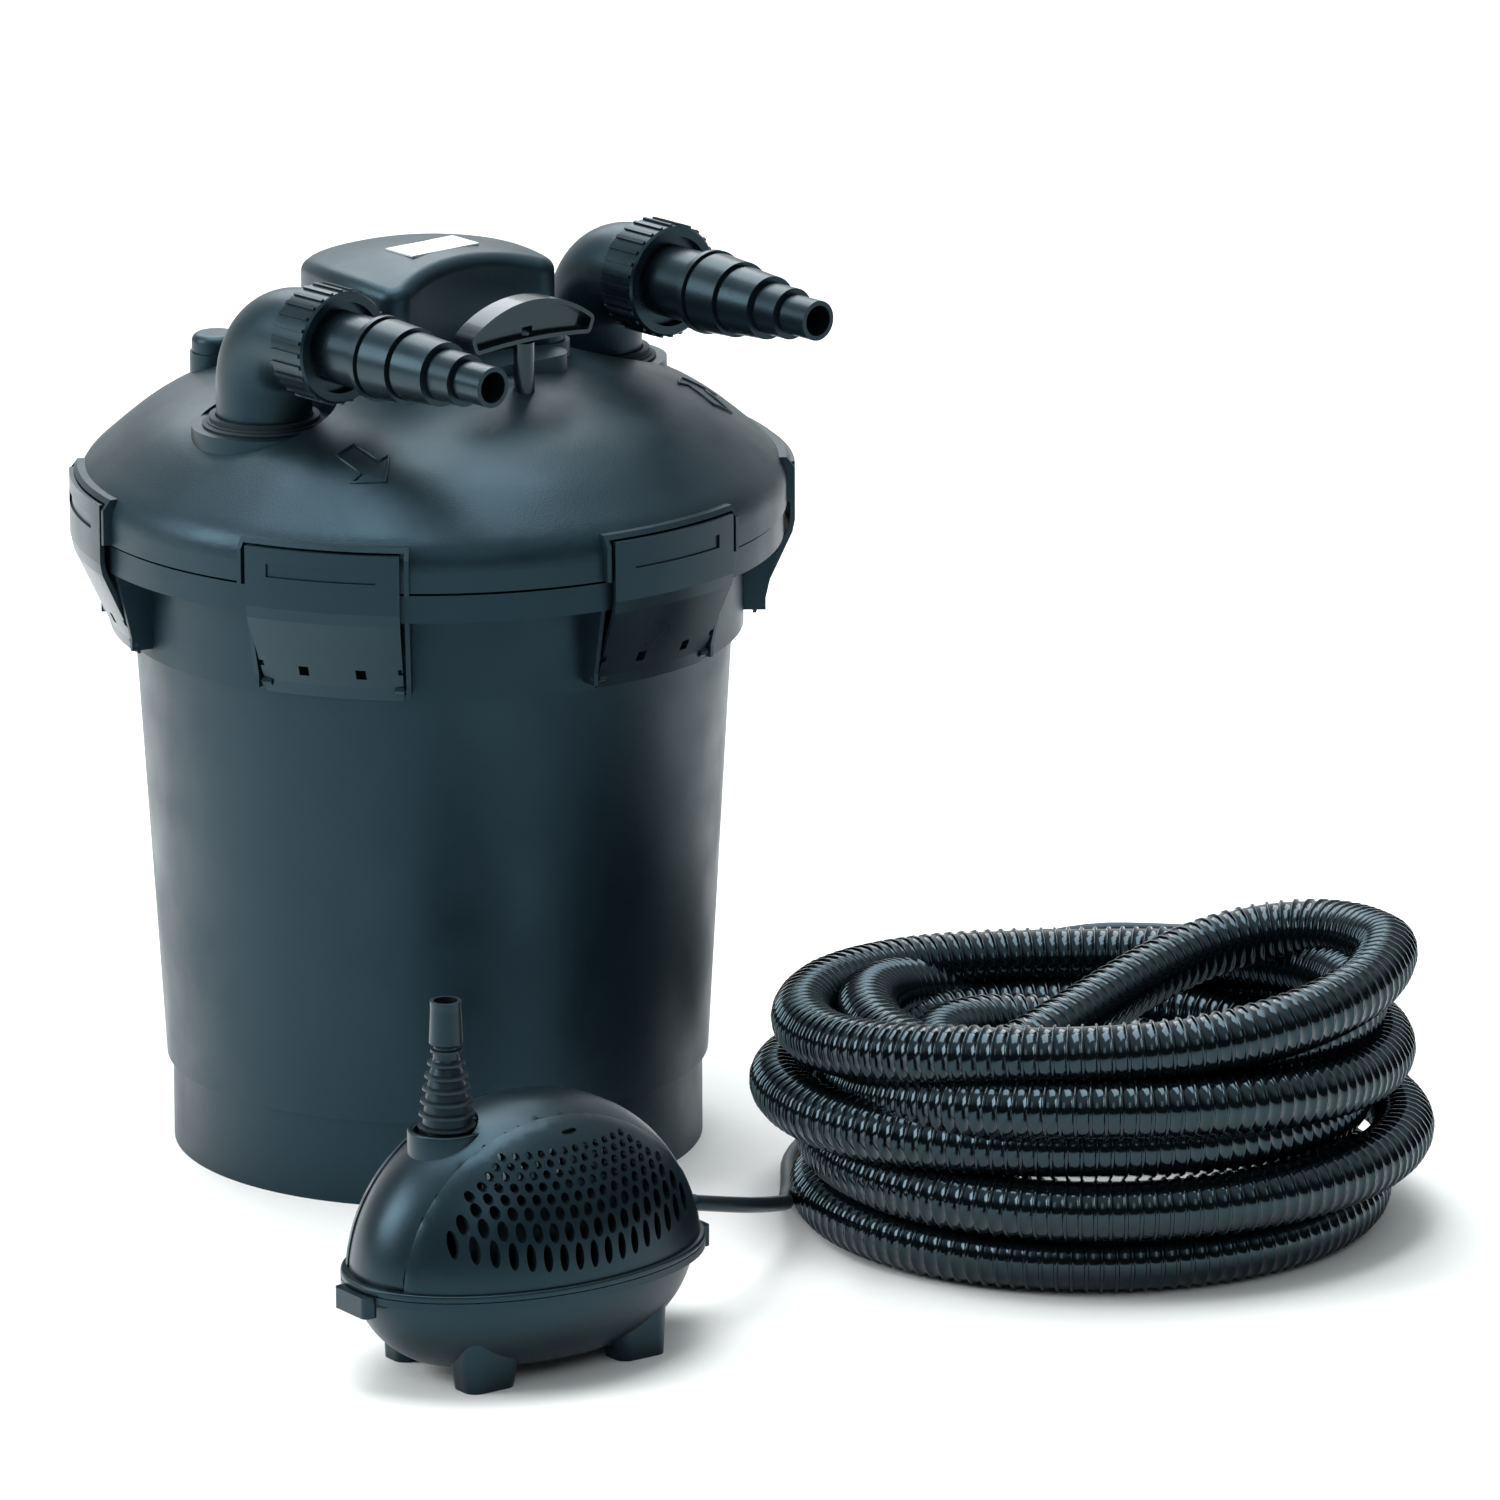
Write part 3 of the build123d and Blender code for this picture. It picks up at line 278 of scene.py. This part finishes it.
def metal(name, colour, roughness, grain_scale):
    """Bare metal with fine drawn marks."""
    material = bpy.data.materials.new(name)
    material.use_nodes = True
    tree = material.node_tree
    shader = tree.nodes["Principled BSDF"]
    shader.inputs["Metallic"].default_value = 1.0
    place = tree.nodes.new("ShaderNodeTexCoord")
    marks = tree.nodes.new("ShaderNodeTexNoise")
    marks.inputs["Scale"].default_value = grain_scale
    marks.inputs["Detail"].default_value = 4.0
    tree.links.new(place.outputs["Object"], marks.inputs["Vector"])
    tone = tree.nodes.new("ShaderNodeValToRGB")
    tone.color_ramp.elements[0].color = (*[0.8 * c for c in colour], 1)
    tone.color_ramp.elements[1].color = (*[min(1.0, 1.1 * c) for c in colour], 1)
    tree.links.new(marks.outputs["Fac"], tone.inputs["Fac"])
    tree.links.new(tone.outputs["Color"], shader.inputs["Base Color"])
    gloss = tree.nodes.new("ShaderNodeMapRange")
    gloss.inputs["To Min"].default_value = 0.8 * roughness
    gloss.inputs["To Max"].default_value = 1.3 * roughness
    tree.links.new(marks.outputs["Fac"], gloss.inputs["Value"])
    tree.links.new(gloss.outputs["Result"], shader.inputs["Roughness"])
    return material


dress(nodes["plug_pins"], metal("nickelled_brass", (0.72, 0.68, 0.58), 0.22, 900))


# ---------------------------------------------------------------- Tank
# Injection-moulded polypropylene tub with a stepped foot, a collar below the rim and paired hinge fins for the clips.
# The rubber ring lies in the rim's groove, and a stub pin stands in each fin for its clip to turn on.
tank_plastic = shiny_plastic("tank_plastic", (0.0030, 0.0088, 0.0140), 0.40, 1300, 0.00010)
dress(nodes["tank"], tank_plastic)
seal_rubber = shiny_plastic("seal_rubber", (0.010, 0.010, 0.011), 0.62, 1600, 0.00008)
dress(nodes["lid_seal"], seal_rubber)


# ---------------------------------------------------------------- Lid and lamp housing
# The domed lid is moulded in the same plastic as the tank, with the lamp housing screwed on its plinth. Its colour is
# a lighter copy of the tank's, which paints light from above on to it.
# A plain white label lies in the recess on top of the housing.
# A lighter copy of the tank's colour: painted light from above on the lid, its housing, cap, arrows and the elbows.
lid_plastic_painted_light = shiny_plastic("lid_plastic_painted_light", (0.0050, 0.0115, 0.0160), 0.38, 1100, 0.00016)
for name in ("tank_lid", "head_housing", "rinse_cap"):
    dress(nodes[name], lid_plastic_painted_light)
label_film = shiny_plastic("label_film", (0.68, 0.70, 0.71), 0.35, 900, 0.00002, tint=(1, 1, 1, 1))
dress(nodes["head_label"], label_film)
dress(nodes["head_screws"], metal("screw_steel", (0.55, 0.55, 0.55), 0.32, 1500))

# A raised flow arrow lies on the lid before each hose port: away from the outlet and towards the inlet.
arrow_bead, top_of_lid = 0.0009, 0.5
arrow_outline = [(-0.0055, -0.015), (0.0055, -0.015), (0.0055, 0.004), (0.0115, 0.004), (0, 0.016),
                 (-0.0115, 0.004), (-0.0055, 0.004)]
for name, x, y, turn in (("outlet_arrow", -0.103, -0.078, 180), ("inlet_arrow", 0.108, -0.074, 0)):
    corners = []
    for a, b in zip(arrow_outline, arrow_outline[1:] + arrow_outline[:1]):
        for step in range(4):
            share = step / 4
            corners.append((a[0] + (b[0] - a[0]) * share, a[1] + (b[1] - a[1]) * share))
    curve = bpy.data.curves.new(name, "CURVE")
    curve.dimensions = "3D"
    ridge = curve.splines.new("POLY")
    ridge.points.add(len(corners) - 1)
    ridge.use_cyclic_u = True
    curve.bevel_depth = arrow_bead
    curve.bevel_resolution = 2
    cosine, sine = math.cos(math.radians(turn)), math.sin(math.radians(turn))
    for point, (u, v) in zip(ridge.points, corners):
        spot = Vector((x + u * cosine - v * sine, y + u * sine + v * cosine, top_of_lid))
        hit, where, _, _ = nodes["tank_lid"].ray_cast(spot, Vector((0, 0, -1)))
        point.co = (spot.x, spot.y, where.z + 0.0001 if hit else 0.36, 1)
    arrow = bpy.data.objects.new(name, curve)
    bpy.context.collection.objects.link(arrow)
    dress(arrow, lid_plastic_painted_light)
    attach(arrow, "lid")


# ---------------------------------------------------------------- Clips
# Six over-centre clips hold the lid down, moulded in a slightly slicker plastic than the lid's.
# Each has a hook at the top and two sprue marks low on its face, and turns on stub pins in the tank's paired fins.
clip_plastic = shiny_plastic("clip_plastic", (0.0035, 0.0085, 0.0125), 0.32, 1200, 0.00008)
for number in range(6):
    dress(nodes[f"clip_{number + 1}"], clip_plastic)
dress(nodes["clip_pins"], clip_plastic)


# ---------------------------------------------------------------- Hose unions
# Two elbows turn on rings in the lid's ports, and a ribbed nut holds a stepped hose tail and a flat gasket on each.
# The nuts and tails are moulded in a harder and glossier black plastic than the elbows.
fitting_plastic = shiny_plastic("fitting_plastic", (0.0030, 0.0062, 0.0085), 0.30, 900, 0.00006)
for side in ("outlet", "inlet"):
    dress(nodes[f"{side}_elbow"], lid_plastic_painted_light)
    for part in ("nut", "tail"):
        dress(nodes[f"{side}_{part}"], fitting_plastic)
    for part in ("swivel_ring", "elbow_seal", "gasket"):
        dress(nodes[f"{side}_{part}"], seal_rubber)


# ---------------------------------------------------------------- Cleaning handle
# A glossy black grip on a moulded rod, which runs down through a rubber seal in the lid to the press plate.
# The plate, the foam cage and the inlet's pipe are plain moulded plastic and are seen only with the lid off.
grip_plastic = shiny_plastic("grip_plastic", (0.0060, 0.0080, 0.0095), 0.24, 1000, 0.00004, coat=0.3)
dress(nodes["handle_grip"], grip_plastic)
dress(nodes["handle_rod"], grip_plastic)
dress(nodes["rod_seal"], seal_rubber)
plain_plastic = shiny_plastic("plain_plastic", (0.030, 0.034, 0.038), 0.45, 1000, 0.00010)
for name in ("press_plate", "foam_cage", "inlet_pipe", "ballast", "lamp_socket", "head_gland"):
    dress(nodes[name], plain_plastic)


# ---------------------------------------------------------------- Lamp
# A white-bodied UVC tube with its socket stands inside a clear quartz sleeve.
# A nut under the lid holds the sleeve and keeps the water out of the housing.
glass = bpy.data.materials.new("quartz_glass")
glass.use_nodes = True
glass_shader = glass.node_tree.nodes["Principled BSDF"]
glass_shader.inputs["Transmission Weight"].default_value = 1.0
glass_shader.inputs["IOR"].default_value = 1.46
glass_place = glass.node_tree.nodes.new("ShaderNodeTexCoord")
glass_film = glass.node_tree.nodes.new("ShaderNodeTexNoise")
glass_film.inputs["Scale"].default_value = 60.0
glass_gloss = glass.node_tree.nodes.new("ShaderNodeMapRange")
glass_gloss.inputs["To Min"].default_value = 0.01
glass_gloss.inputs["To Max"].default_value = 0.07
glass.node_tree.links.new(glass_place.outputs["Object"], glass_film.inputs["Vector"])
glass.node_tree.links.new(glass_film.outputs["Fac"], glass_gloss.inputs["Value"])
glass.node_tree.links.new(glass_gloss.outputs["Result"], glass_shader.inputs["Roughness"])
dress(nodes["quartz_sleeve"], glass)
lamp_white = shiny_plastic("lamp_white", (0.70, 0.72, 0.74), 0.20, 500, 0.00002, tint=(1, 1, 1, 1))
dress(nodes["uvc_lamp"], lamp_white)
dress(nodes["sleeve_nut"], plain_plastic)


# ---------------------------------------------------------------- Filter foams
# Four open-cell foam discs hang on the cage under the lid: blue, red, violet and blue, from the bottom up.
# Each is a die-cut disc with a round middle hole, and all are squeezed upwards when the handle is pulled.
def select_faces(piece, chosen):
    """Enters edit mode with the chosen faces of a piece selected, and nothing else."""
    bpy.ops.object.mode_set(mode="EDIT")
    bpy.ops.mesh.select_mode(type="FACE")
    bpy.ops.mesh.select_all(action="DESELECT")
    bpy.ops.object.mode_set(mode="OBJECT")
    for face in piece.data.polygons:
        face.select = chosen(face)
    bpy.ops.object.mode_set(mode="EDIT")


def open_foam(name, colour):
    """Reticulated foam: struts in the foam's own colour, with the open cells between them painted dark as shade
    inside the pores.
    """
    material = bpy.data.materials.new(name)
    material.use_nodes = True
    tree = material.node_tree
    shader = tree.nodes["Principled BSDF"]
    place = tree.nodes.new("ShaderNodeTexCoord")
    cells = tree.nodes.new("ShaderNodeTexVoronoi")
    cells.inputs["Scale"].default_value = 620.0
    tree.links.new(place.outputs["Object"], cells.inputs["Vector"])
    # The ramp's dark end is painted shade in the open pores; its pale end is the foam's own colour.
    tone = tree.nodes.new("ShaderNodeValToRGB")
    tone.color_ramp.elements[0].position = 0.15
    tone.color_ramp.elements[0].color = (*[0.12 * c for c in colour], 1)
    tone.color_ramp.elements[1].position = 0.55
    tone.color_ramp.elements[1].color = (*colour, 1)
    tree.links.new(cells.outputs["Distance"], tone.inputs["Fac"])
    tree.links.new(tone.outputs["Color"], shader.inputs["Base Color"])
    bump = tree.nodes.new("ShaderNodeBump")
    bump.inputs["Distance"].default_value = 0.0012
    tree.links.new(cells.outputs["Distance"], bump.inputs["Height"])
    tree.links.new(bump.outputs["Normal"], shader.inputs["Normal"])
    shader.inputs["Roughness"].default_value = 0.92
    return material


foam_look = {"foam_blue": (0.030, 0.120, 0.300), "foam_red": (0.340, 0.055, 0.045),
             "foam_violet": (0.150, 0.060, 0.240)}
foam_finish = {slot: open_foam(slot, colour) for slot, colour in foam_look.items()}
foam_slots = ["foam_blue", "foam_red", "foam_violet", "foam_blue"]
foam_surface = bpy.data.textures.new("foam_surface", "CLOUDS")
foam_surface.noise_scale = 0.018
foam_hole, inset_step, foam_fold = 0.022, 0.034, 0.239
for number, slot in enumerate(foam_slots):
    low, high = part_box(f"foam_{number + 1}")
    bpy.ops.mesh.primitive_cylinder_add(vertices=96, radius=high.x, depth=high.z - low.z,
                                        location=(0, 0, (low.z + high.z) / 2))
    foam = bpy.context.object
    foam.name = f"foam_disc_{number + 1}"
    select_faces(foam, lambda face: abs(face.normal.z) > 0.9)
    for step in (inset_step, inset_step, high.x - foam_hole - 2 * inset_step):
        bpy.ops.mesh.inset(thickness=step, use_individual=True)
    bpy.ops.mesh.bridge_edge_loops()
    bpy.ops.mesh.select_all(action="SELECT")
    bpy.ops.mesh.remove_doubles(threshold=0.00001)
    bpy.ops.mesh.normals_make_consistent(inside=False)
    bpy.ops.object.mode_set(mode="OBJECT")
    bpy.ops.object.transform_apply(location=True, rotation=True, scale=True)
    rounded = foam.modifiers.new("rounded", "BEVEL")
    rounded.width = 0.004
    rounded.segments = 3
    bpy.ops.object.modifier_apply(modifier="rounded")
    cut = foam.modifiers.new("cut", "SUBSURF")
    cut.subdivision_type = "SIMPLE"
    cut.levels = cut.render_levels = 2
    bpy.ops.object.modifier_apply(modifier="cut")
    rough = foam.modifiers.new("rough", "DISPLACE")
    rough.texture = foam_surface
    rough.texture_coords = "LOCAL"
    rough.strength = 0.0016
    rough.mid_level = 1.0
    bpy.ops.object.modifier_apply(modifier="rough")
    bpy.ops.object.shade_smooth()
    dress(foam, foam_finish[slot])
    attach(foam, "lid")
    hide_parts(f"foam_{number + 1}")
    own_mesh(foam)
    foam.select_set(False)


# ---------------------------------------------------------------- Pump
# The pump's strainer cover is an egg-shaped moulded shell: a smooth band runs along its top, and both sides are
# pierced with rows of holes, tall ovals low down and small round ones above. It snaps on to the bowl's flange.
# The bowl, the outlet's nut and soft tail, and the sealed motor inside keep their own shapes.
pump_centre, pump_angle = Vector((-0.1909, -0.3010, 0)), math.radians(-5)
half_length, half_width, seam, crown = 0.088, 0.057, 0.048, 0.078
band_half, band_rise, shell_wall, outlet_along = 0.024, 0.0016, 0.0026, -0.042


def cut_away(piece, cutter):
    """Takes the cutter's shape out of a piece, and removes the cutter."""
    bpy.ops.object.select_all(action="DESELECT")
    piece.select_set(True)
    bpy.context.view_layer.objects.active = piece
    cut = piece.modifiers.new("cut", "BOOLEAN")
    cut.operation = "DIFFERENCE"
    cut.solver = "EXACT"
    cut.object = cutter
    bpy.ops.object.modifier_apply(modifier="cut")
    bpy.data.objects.remove(cutter)


def rounded_ring(sides, size, place, wall, rounding):
    """A flat ring: a cylinder with its ends inset and bridged, and its edges rounded."""
    bpy.ops.mesh.primitive_cylinder_add(vertices=sides, radius=1, depth=1, location=place)
    ring = bpy.context.object
    bpy.ops.transform.resize(value=size)
    bpy.ops.object.transform_apply(location=True, rotation=True, scale=True)
    select_faces(ring, lambda face: abs(face.normal.z) > 0.9)
    bpy.ops.mesh.inset(thickness=wall, use_individual=True)
    bpy.ops.mesh.bridge_edge_loops()
    bpy.ops.object.mode_set(mode="OBJECT")
    softened = ring.modifiers.new("softened", "BEVEL")
    softened.width = rounding
    softened.segments = 3
    bpy.ops.object.modifier_apply(modifier="softened")
    return ring


pump_plastic = shiny_plastic("pump_plastic", (0.0035, 0.0075, 0.0105), 0.33, 1000, 0.00009)

bpy.ops.mesh.primitive_uv_sphere_add(segments=128, ring_count=64, radius=1, location=(0, 0, 0))
cover = bpy.context.object
cover.name = "strainer_cover"
bpy.ops.transform.resize(value=(half_length, half_width, crown))
bpy.ops.object.transform_apply(location=False, rotation=False, scale=True)
bpy.ops.object.mode_set(mode="EDIT")
bpy.ops.mesh.select_all(action="SELECT")
above_seam = 0.0005
bpy.ops.mesh.bisect(plane_co=(0, 0, above_seam), plane_no=(0, 0, 1), clear_inner=True)
for edge in (-band_half, band_half):
    bpy.ops.mesh.select_all(action="SELECT")
    bpy.ops.mesh.bisect(plane_co=(0, edge, 0), plane_no=(0, 1, 0))
bpy.ops.object.mode_set(mode="OBJECT")
select_faces(cover, lambda face: abs(face.center.y) < band_half)
bpy.ops.mesh.extrude_region_shrink_fatten(TRANSFORM_OT_shrink_fatten={"value": -band_rise})
bpy.ops.mesh.select_all(action="SELECT")
bpy.ops.mesh.normals_make_consistent(inside=False)
bpy.ops.transform.translate(value=(0, 0, seam))
bpy.ops.object.mode_set(mode="OBJECT")
wall_made = cover.modifiers.new("wall", "SOLIDIFY")
wall_made.thickness = shell_wall
wall_made.offset = -1.0
bpy.ops.object.modifier_apply(modifier="wall")

# One punch, copied to every hole of the rows: (height of the row, width and height of its holes, pitch)
hole_rows = [(0.0640, 0.0044, 0.0129, 0.0080), (0.0755, 0.0048, 0.0092, 0.0078), (0.0840, 0.0046, 0.0064, 0.0074),
             (0.0903, 0.0042, 0.0050, 0.0070), (0.0958, 0.0040, 0.0042, 0.0066), (0.1007, 0.0038, 0.0039, 0.0064),
             (0.1050, 0.0036, 0.0036, 0.0062), (0.1090, 0.0034, 0.0034, 0.0060)]
row_half_count, arch_rise, arch_span, band_margin = 12, 0.016, 0.080, 0.0018
punch_middle, punch_depth = 0.047, 0.050
bpy.ops.object.select_all(action="DESELECT")
bpy.ops.mesh.primitive_cylinder_add(vertices=20, radius=0.5, depth=1, location=(0, 0, 0),
                                    rotation=(math.pi / 2, 0, 0))
punch = bpy.context.object
bpy.ops.object.transform_apply(location=True, rotation=True, scale=True)
punches = []


def strike(place, size):
    """Copies the punch to a place, at a size."""
    mark = punch.copy()
    mark.data = punch.data.copy()
    mark.data.transform(Matrix.Translation(place) @ Matrix.Diagonal((*size, 1)))
    bpy.context.collection.objects.link(mark)
    punches.append(mark)


for row, (height, wide, tall, pitch) in enumerate(hole_rows):
    for number in range(-row_half_count, row_half_count + 1):
        along = (number + 0.5 * (row % 2)) * pitch
        # The lower rows arch up towards the cover's ends
        middle = height + arch_rise * (1 - row / len(hole_rows)) * (along / arch_span) ** 2
        bulge = 1 - (along / half_length) ** 2 - ((middle + tall / 2 - seam) / crown) ** 2
        if bulge <= 0 or half_width * math.sqrt(bulge) < band_half + band_margin:
            continue
        for side in (-1, 1):
            strike((along, side * punch_middle, middle), (wide, punch_depth, tall))
# One shallow slot near the crown of the front side
strike((0.004, -0.040, 0.1155), (0.0085, 0.020, 0.0022))
bpy.ops.object.select_all(action="DESELECT")
for mark in punches:
    mark.select_set(True)
bpy.context.view_layer.objects.active = punches[0]
bpy.ops.object.join()
joined_punches = bpy.context.object
bpy.data.objects.remove(punch)
cut_away(cover, joined_punches)

# The round opening for the outlet's nut, and an oval vent near the far end
for radius, low, high, spot, stretch in ((0.0146, 0.070, 0.150, (outlet_along, 0), 1.0),
                                         (0.0036, 0.100, 0.150, (0.046, 0), 1.9)):
    bpy.ops.mesh.primitive_cylinder_add(vertices=48, radius=radius, depth=high - low,
                                        location=(*spot, (low + high) / 2))
    drill = bpy.context.object
    bpy.ops.transform.resize(value=(stretch, 1, 1))
    bpy.ops.object.transform_apply(location=True, rotation=True, scale=True)
    cut_away(cover, drill)

# Collar round the outlet, flange on the seam, and a bead that arches over the side above the flange
collar_radius = 0.0176
collar = rounded_ring(64, (1.06 * collar_radius, collar_radius, 0.020), (outlet_along, 0, 0.1075), 0.0030, 0.0008)
lip, flange_height = 0.005, 0.0035
flange = rounded_ring(128, (half_length + lip, half_width + lip, flange_height), (0, 0, seam + flange_height / 2),
                      0.0072, 0.0009)
bead_half_count, bead_reach, bead_low, bead_arch = 24, 0.0745, 0.0535, 0.018
beads = []
for side in (-1, 1):
    curve = bpy.data.curves.new("bead", "CURVE")
    curve.dimensions = "3D"
    curve.bevel_depth = 0.0009
    curve.bevel_resolution = 2
    curve.use_fill_caps = True
    bead_line = curve.splines.new("POLY")
    spots = []
    for number in range(-bead_half_count, bead_half_count + 1):
        along = bead_reach * number / bead_half_count
        height = bead_low + bead_arch * (along / arch_span) ** 2
        bulge = 1 - (along / half_length) ** 2 - ((height - seam) / crown) ** 2
        if bulge > 0 and half_width * math.sqrt(bulge) > band_half:
            spots.append((along, side * half_width * math.sqrt(bulge), height))
    bead_line.points.add(len(spots) - 1)
    for point, spot in zip(bead_line.points, spots):
        point.co = (*spot, 1)
    bead = bpy.data.objects.new("bead", curve)
    bpy.context.collection.objects.link(bead)
    bpy.ops.object.select_all(action="DESELECT")
    bead.select_set(True)
    bpy.context.view_layer.objects.active = bead
    bpy.ops.object.convert(target="MESH")
    beads.append(bpy.context.object)
bpy.ops.object.select_all(action="DESELECT")
for part in (collar, flange, *beads, cover):
    part.select_set(True)
bpy.context.view_layer.objects.active = cover
bpy.ops.object.join()
cover.data.transform(Matrix.Translation(pump_centre) @ Matrix.Rotation(pump_angle, 4, "Z"))
bpy.ops.object.shade_smooth_by_angle(angle=math.radians(32))
dress(cover, pump_plastic)
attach(cover, "pump_cover")
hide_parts("pump_cage")
bpy.ops.object.select_all(action="DESELECT")

# The bowl, the outlet's soft ringed tail and the sealed motor inside
for name in ("pump_tray", "pump_volute", "pump_gland"):
    dress(nodes[name], pump_plastic)
dress(nodes["pump_tail"], shiny_plastic("soft_black", (0.0070, 0.0105, 0.0130), 0.40, 900, 0.00007))
dress(nodes["pump_nut"], fitting_plastic)
dress(nodes["pump_motor"], shiny_plastic("motor_resin", (0.010, 0.011, 0.012), 0.30, 400, 0.00005))
dress(nodes["pump_rotor"], plain_plastic)
dress(nodes["pump_shaft"], shiny_plastic("ceramic", (0.74, 0.73, 0.70), 0.18, 800, 0.00001, tint=(1, 1, 1, 1)))


# ---------------------------------------------------------------- Floor and light
# A plain pale studio floor and a pale backdrop and ceiling, which fade to dark at the sides so that dark plastic
# keeps its edges. Soft boxes stand overhead, on the left and behind, with a weak fill in front.
bpy.ops.mesh.primitive_plane_add(size=30, location=(0, 0, 0))
floor = bpy.context.object
floor.name = "studio_floor"
paper = bpy.data.materials.new("studio_paper")
paper.use_nodes = True
paper_shader = paper.node_tree.nodes["Principled BSDF"]
paper_shader.inputs["Roughness"].default_value = 0.75
paper_shader.inputs["Specular IOR Level"].default_value = 0.15
paper_place = paper.node_tree.nodes.new("ShaderNodeTexCoord")
paper_tone = paper.node_tree.nodes.new("ShaderNodeTexNoise")
paper_tone.inputs["Scale"].default_value = 90.0
paper_ramp = paper.node_tree.nodes.new("ShaderNodeValToRGB")
paper_ramp.color_ramp.elements[0].color = (0.90, 0.915, 0.91, 1)
paper_ramp.color_ramp.elements[1].color = (0.93, 0.945, 0.94, 1)
paper.node_tree.links.new(paper_place.outputs["Object"], paper_tone.inputs["Vector"])
paper.node_tree.links.new(paper_tone.outputs["Fac"], paper_ramp.inputs["Fac"])
paper.node_tree.links.new(paper_ramp.outputs["Color"], paper_shader.inputs["Base Color"])
dress(floor, paper)

sky = bpy.data.worlds.new("studio")
bpy.context.scene.world = sky
sky.use_nodes = True
air = sky.node_tree.nodes["Background"]
way = sky.node_tree.nodes.new("ShaderNodeTexCoord")
upward = sky.node_tree.nodes.new("ShaderNodeSeparateXYZ")
behind = sky.node_tree.nodes.new("ShaderNodeVectorMath")
behind.operation = "DOT_PRODUCT"
behind.inputs[1].default_value = (0.643, 0.766, 0)
backdrop = sky.node_tree.nodes.new("ShaderNodeMapRange")
backdrop.inputs["From Min"].default_value = 0.35
backdrop.inputs["From Max"].default_value = 0.80
ceiling = sky.node_tree.nodes.new("ShaderNodeMapRange")
ceiling.inputs["From Min"].default_value = 0.35
ceiling.inputs["From Max"].default_value = 0.75
brighter = sky.node_tree.nodes.new("ShaderNodeMath")
brighter.operation = "MAXIMUM"
glow = sky.node_tree.nodes.new("ShaderNodeValToRGB")
glow.color_ramp.elements[0].color = (0.045, 0.055, 0.060, 1)
glow.color_ramp.elements[1].color = (0.90, 0.95, 0.97, 1)
sky.node_tree.links.new(way.outputs["Generated"], upward.inputs[0])
sky.node_tree.links.new(way.outputs["Generated"], behind.inputs[0])
sky.node_tree.links.new(behind.outputs["Value"], backdrop.inputs["Value"])
sky.node_tree.links.new(upward.outputs["Z"], ceiling.inputs["Value"])
sky.node_tree.links.new(backdrop.outputs["Result"], brighter.inputs[0])
sky.node_tree.links.new(ceiling.outputs["Result"], brighter.inputs[1])
sky.node_tree.links.new(brighter.outputs["Value"], glow.inputs["Fac"])
sky.node_tree.links.new(glow.outputs["Color"], air.inputs["Color"])
air.inputs["Strength"].default_value = 0.80
target = Vector((0.02, -0.12, 0.18))
for name, place, size, power in (("overhead_box", (-0.1, 0.2, 2.6), 2.0, 70), ("left_box", (-2.6, 1.3, 1.6), 1.6, 66),
                                 ("back_box", (1.1, 1.9, 2.3), 2.0, 45), ("front_fill", (-1.6, -3.2, 2.4), 1.4, 10)):
    lamp = bpy.data.objects.new(name, bpy.data.lights.new(name, "AREA"))
    lamp.data.size = size
    lamp.data.energy = power
    lamp.location = place
    lamp.rotation_euler = (target - Vector(place)).to_track_quat("-Z", "Y").to_euler()
    bpy.context.collection.objects.link(lamp)
bpy.context.scene.view_settings.view_transform = "Standard"

bpy.context.view_layer.update()
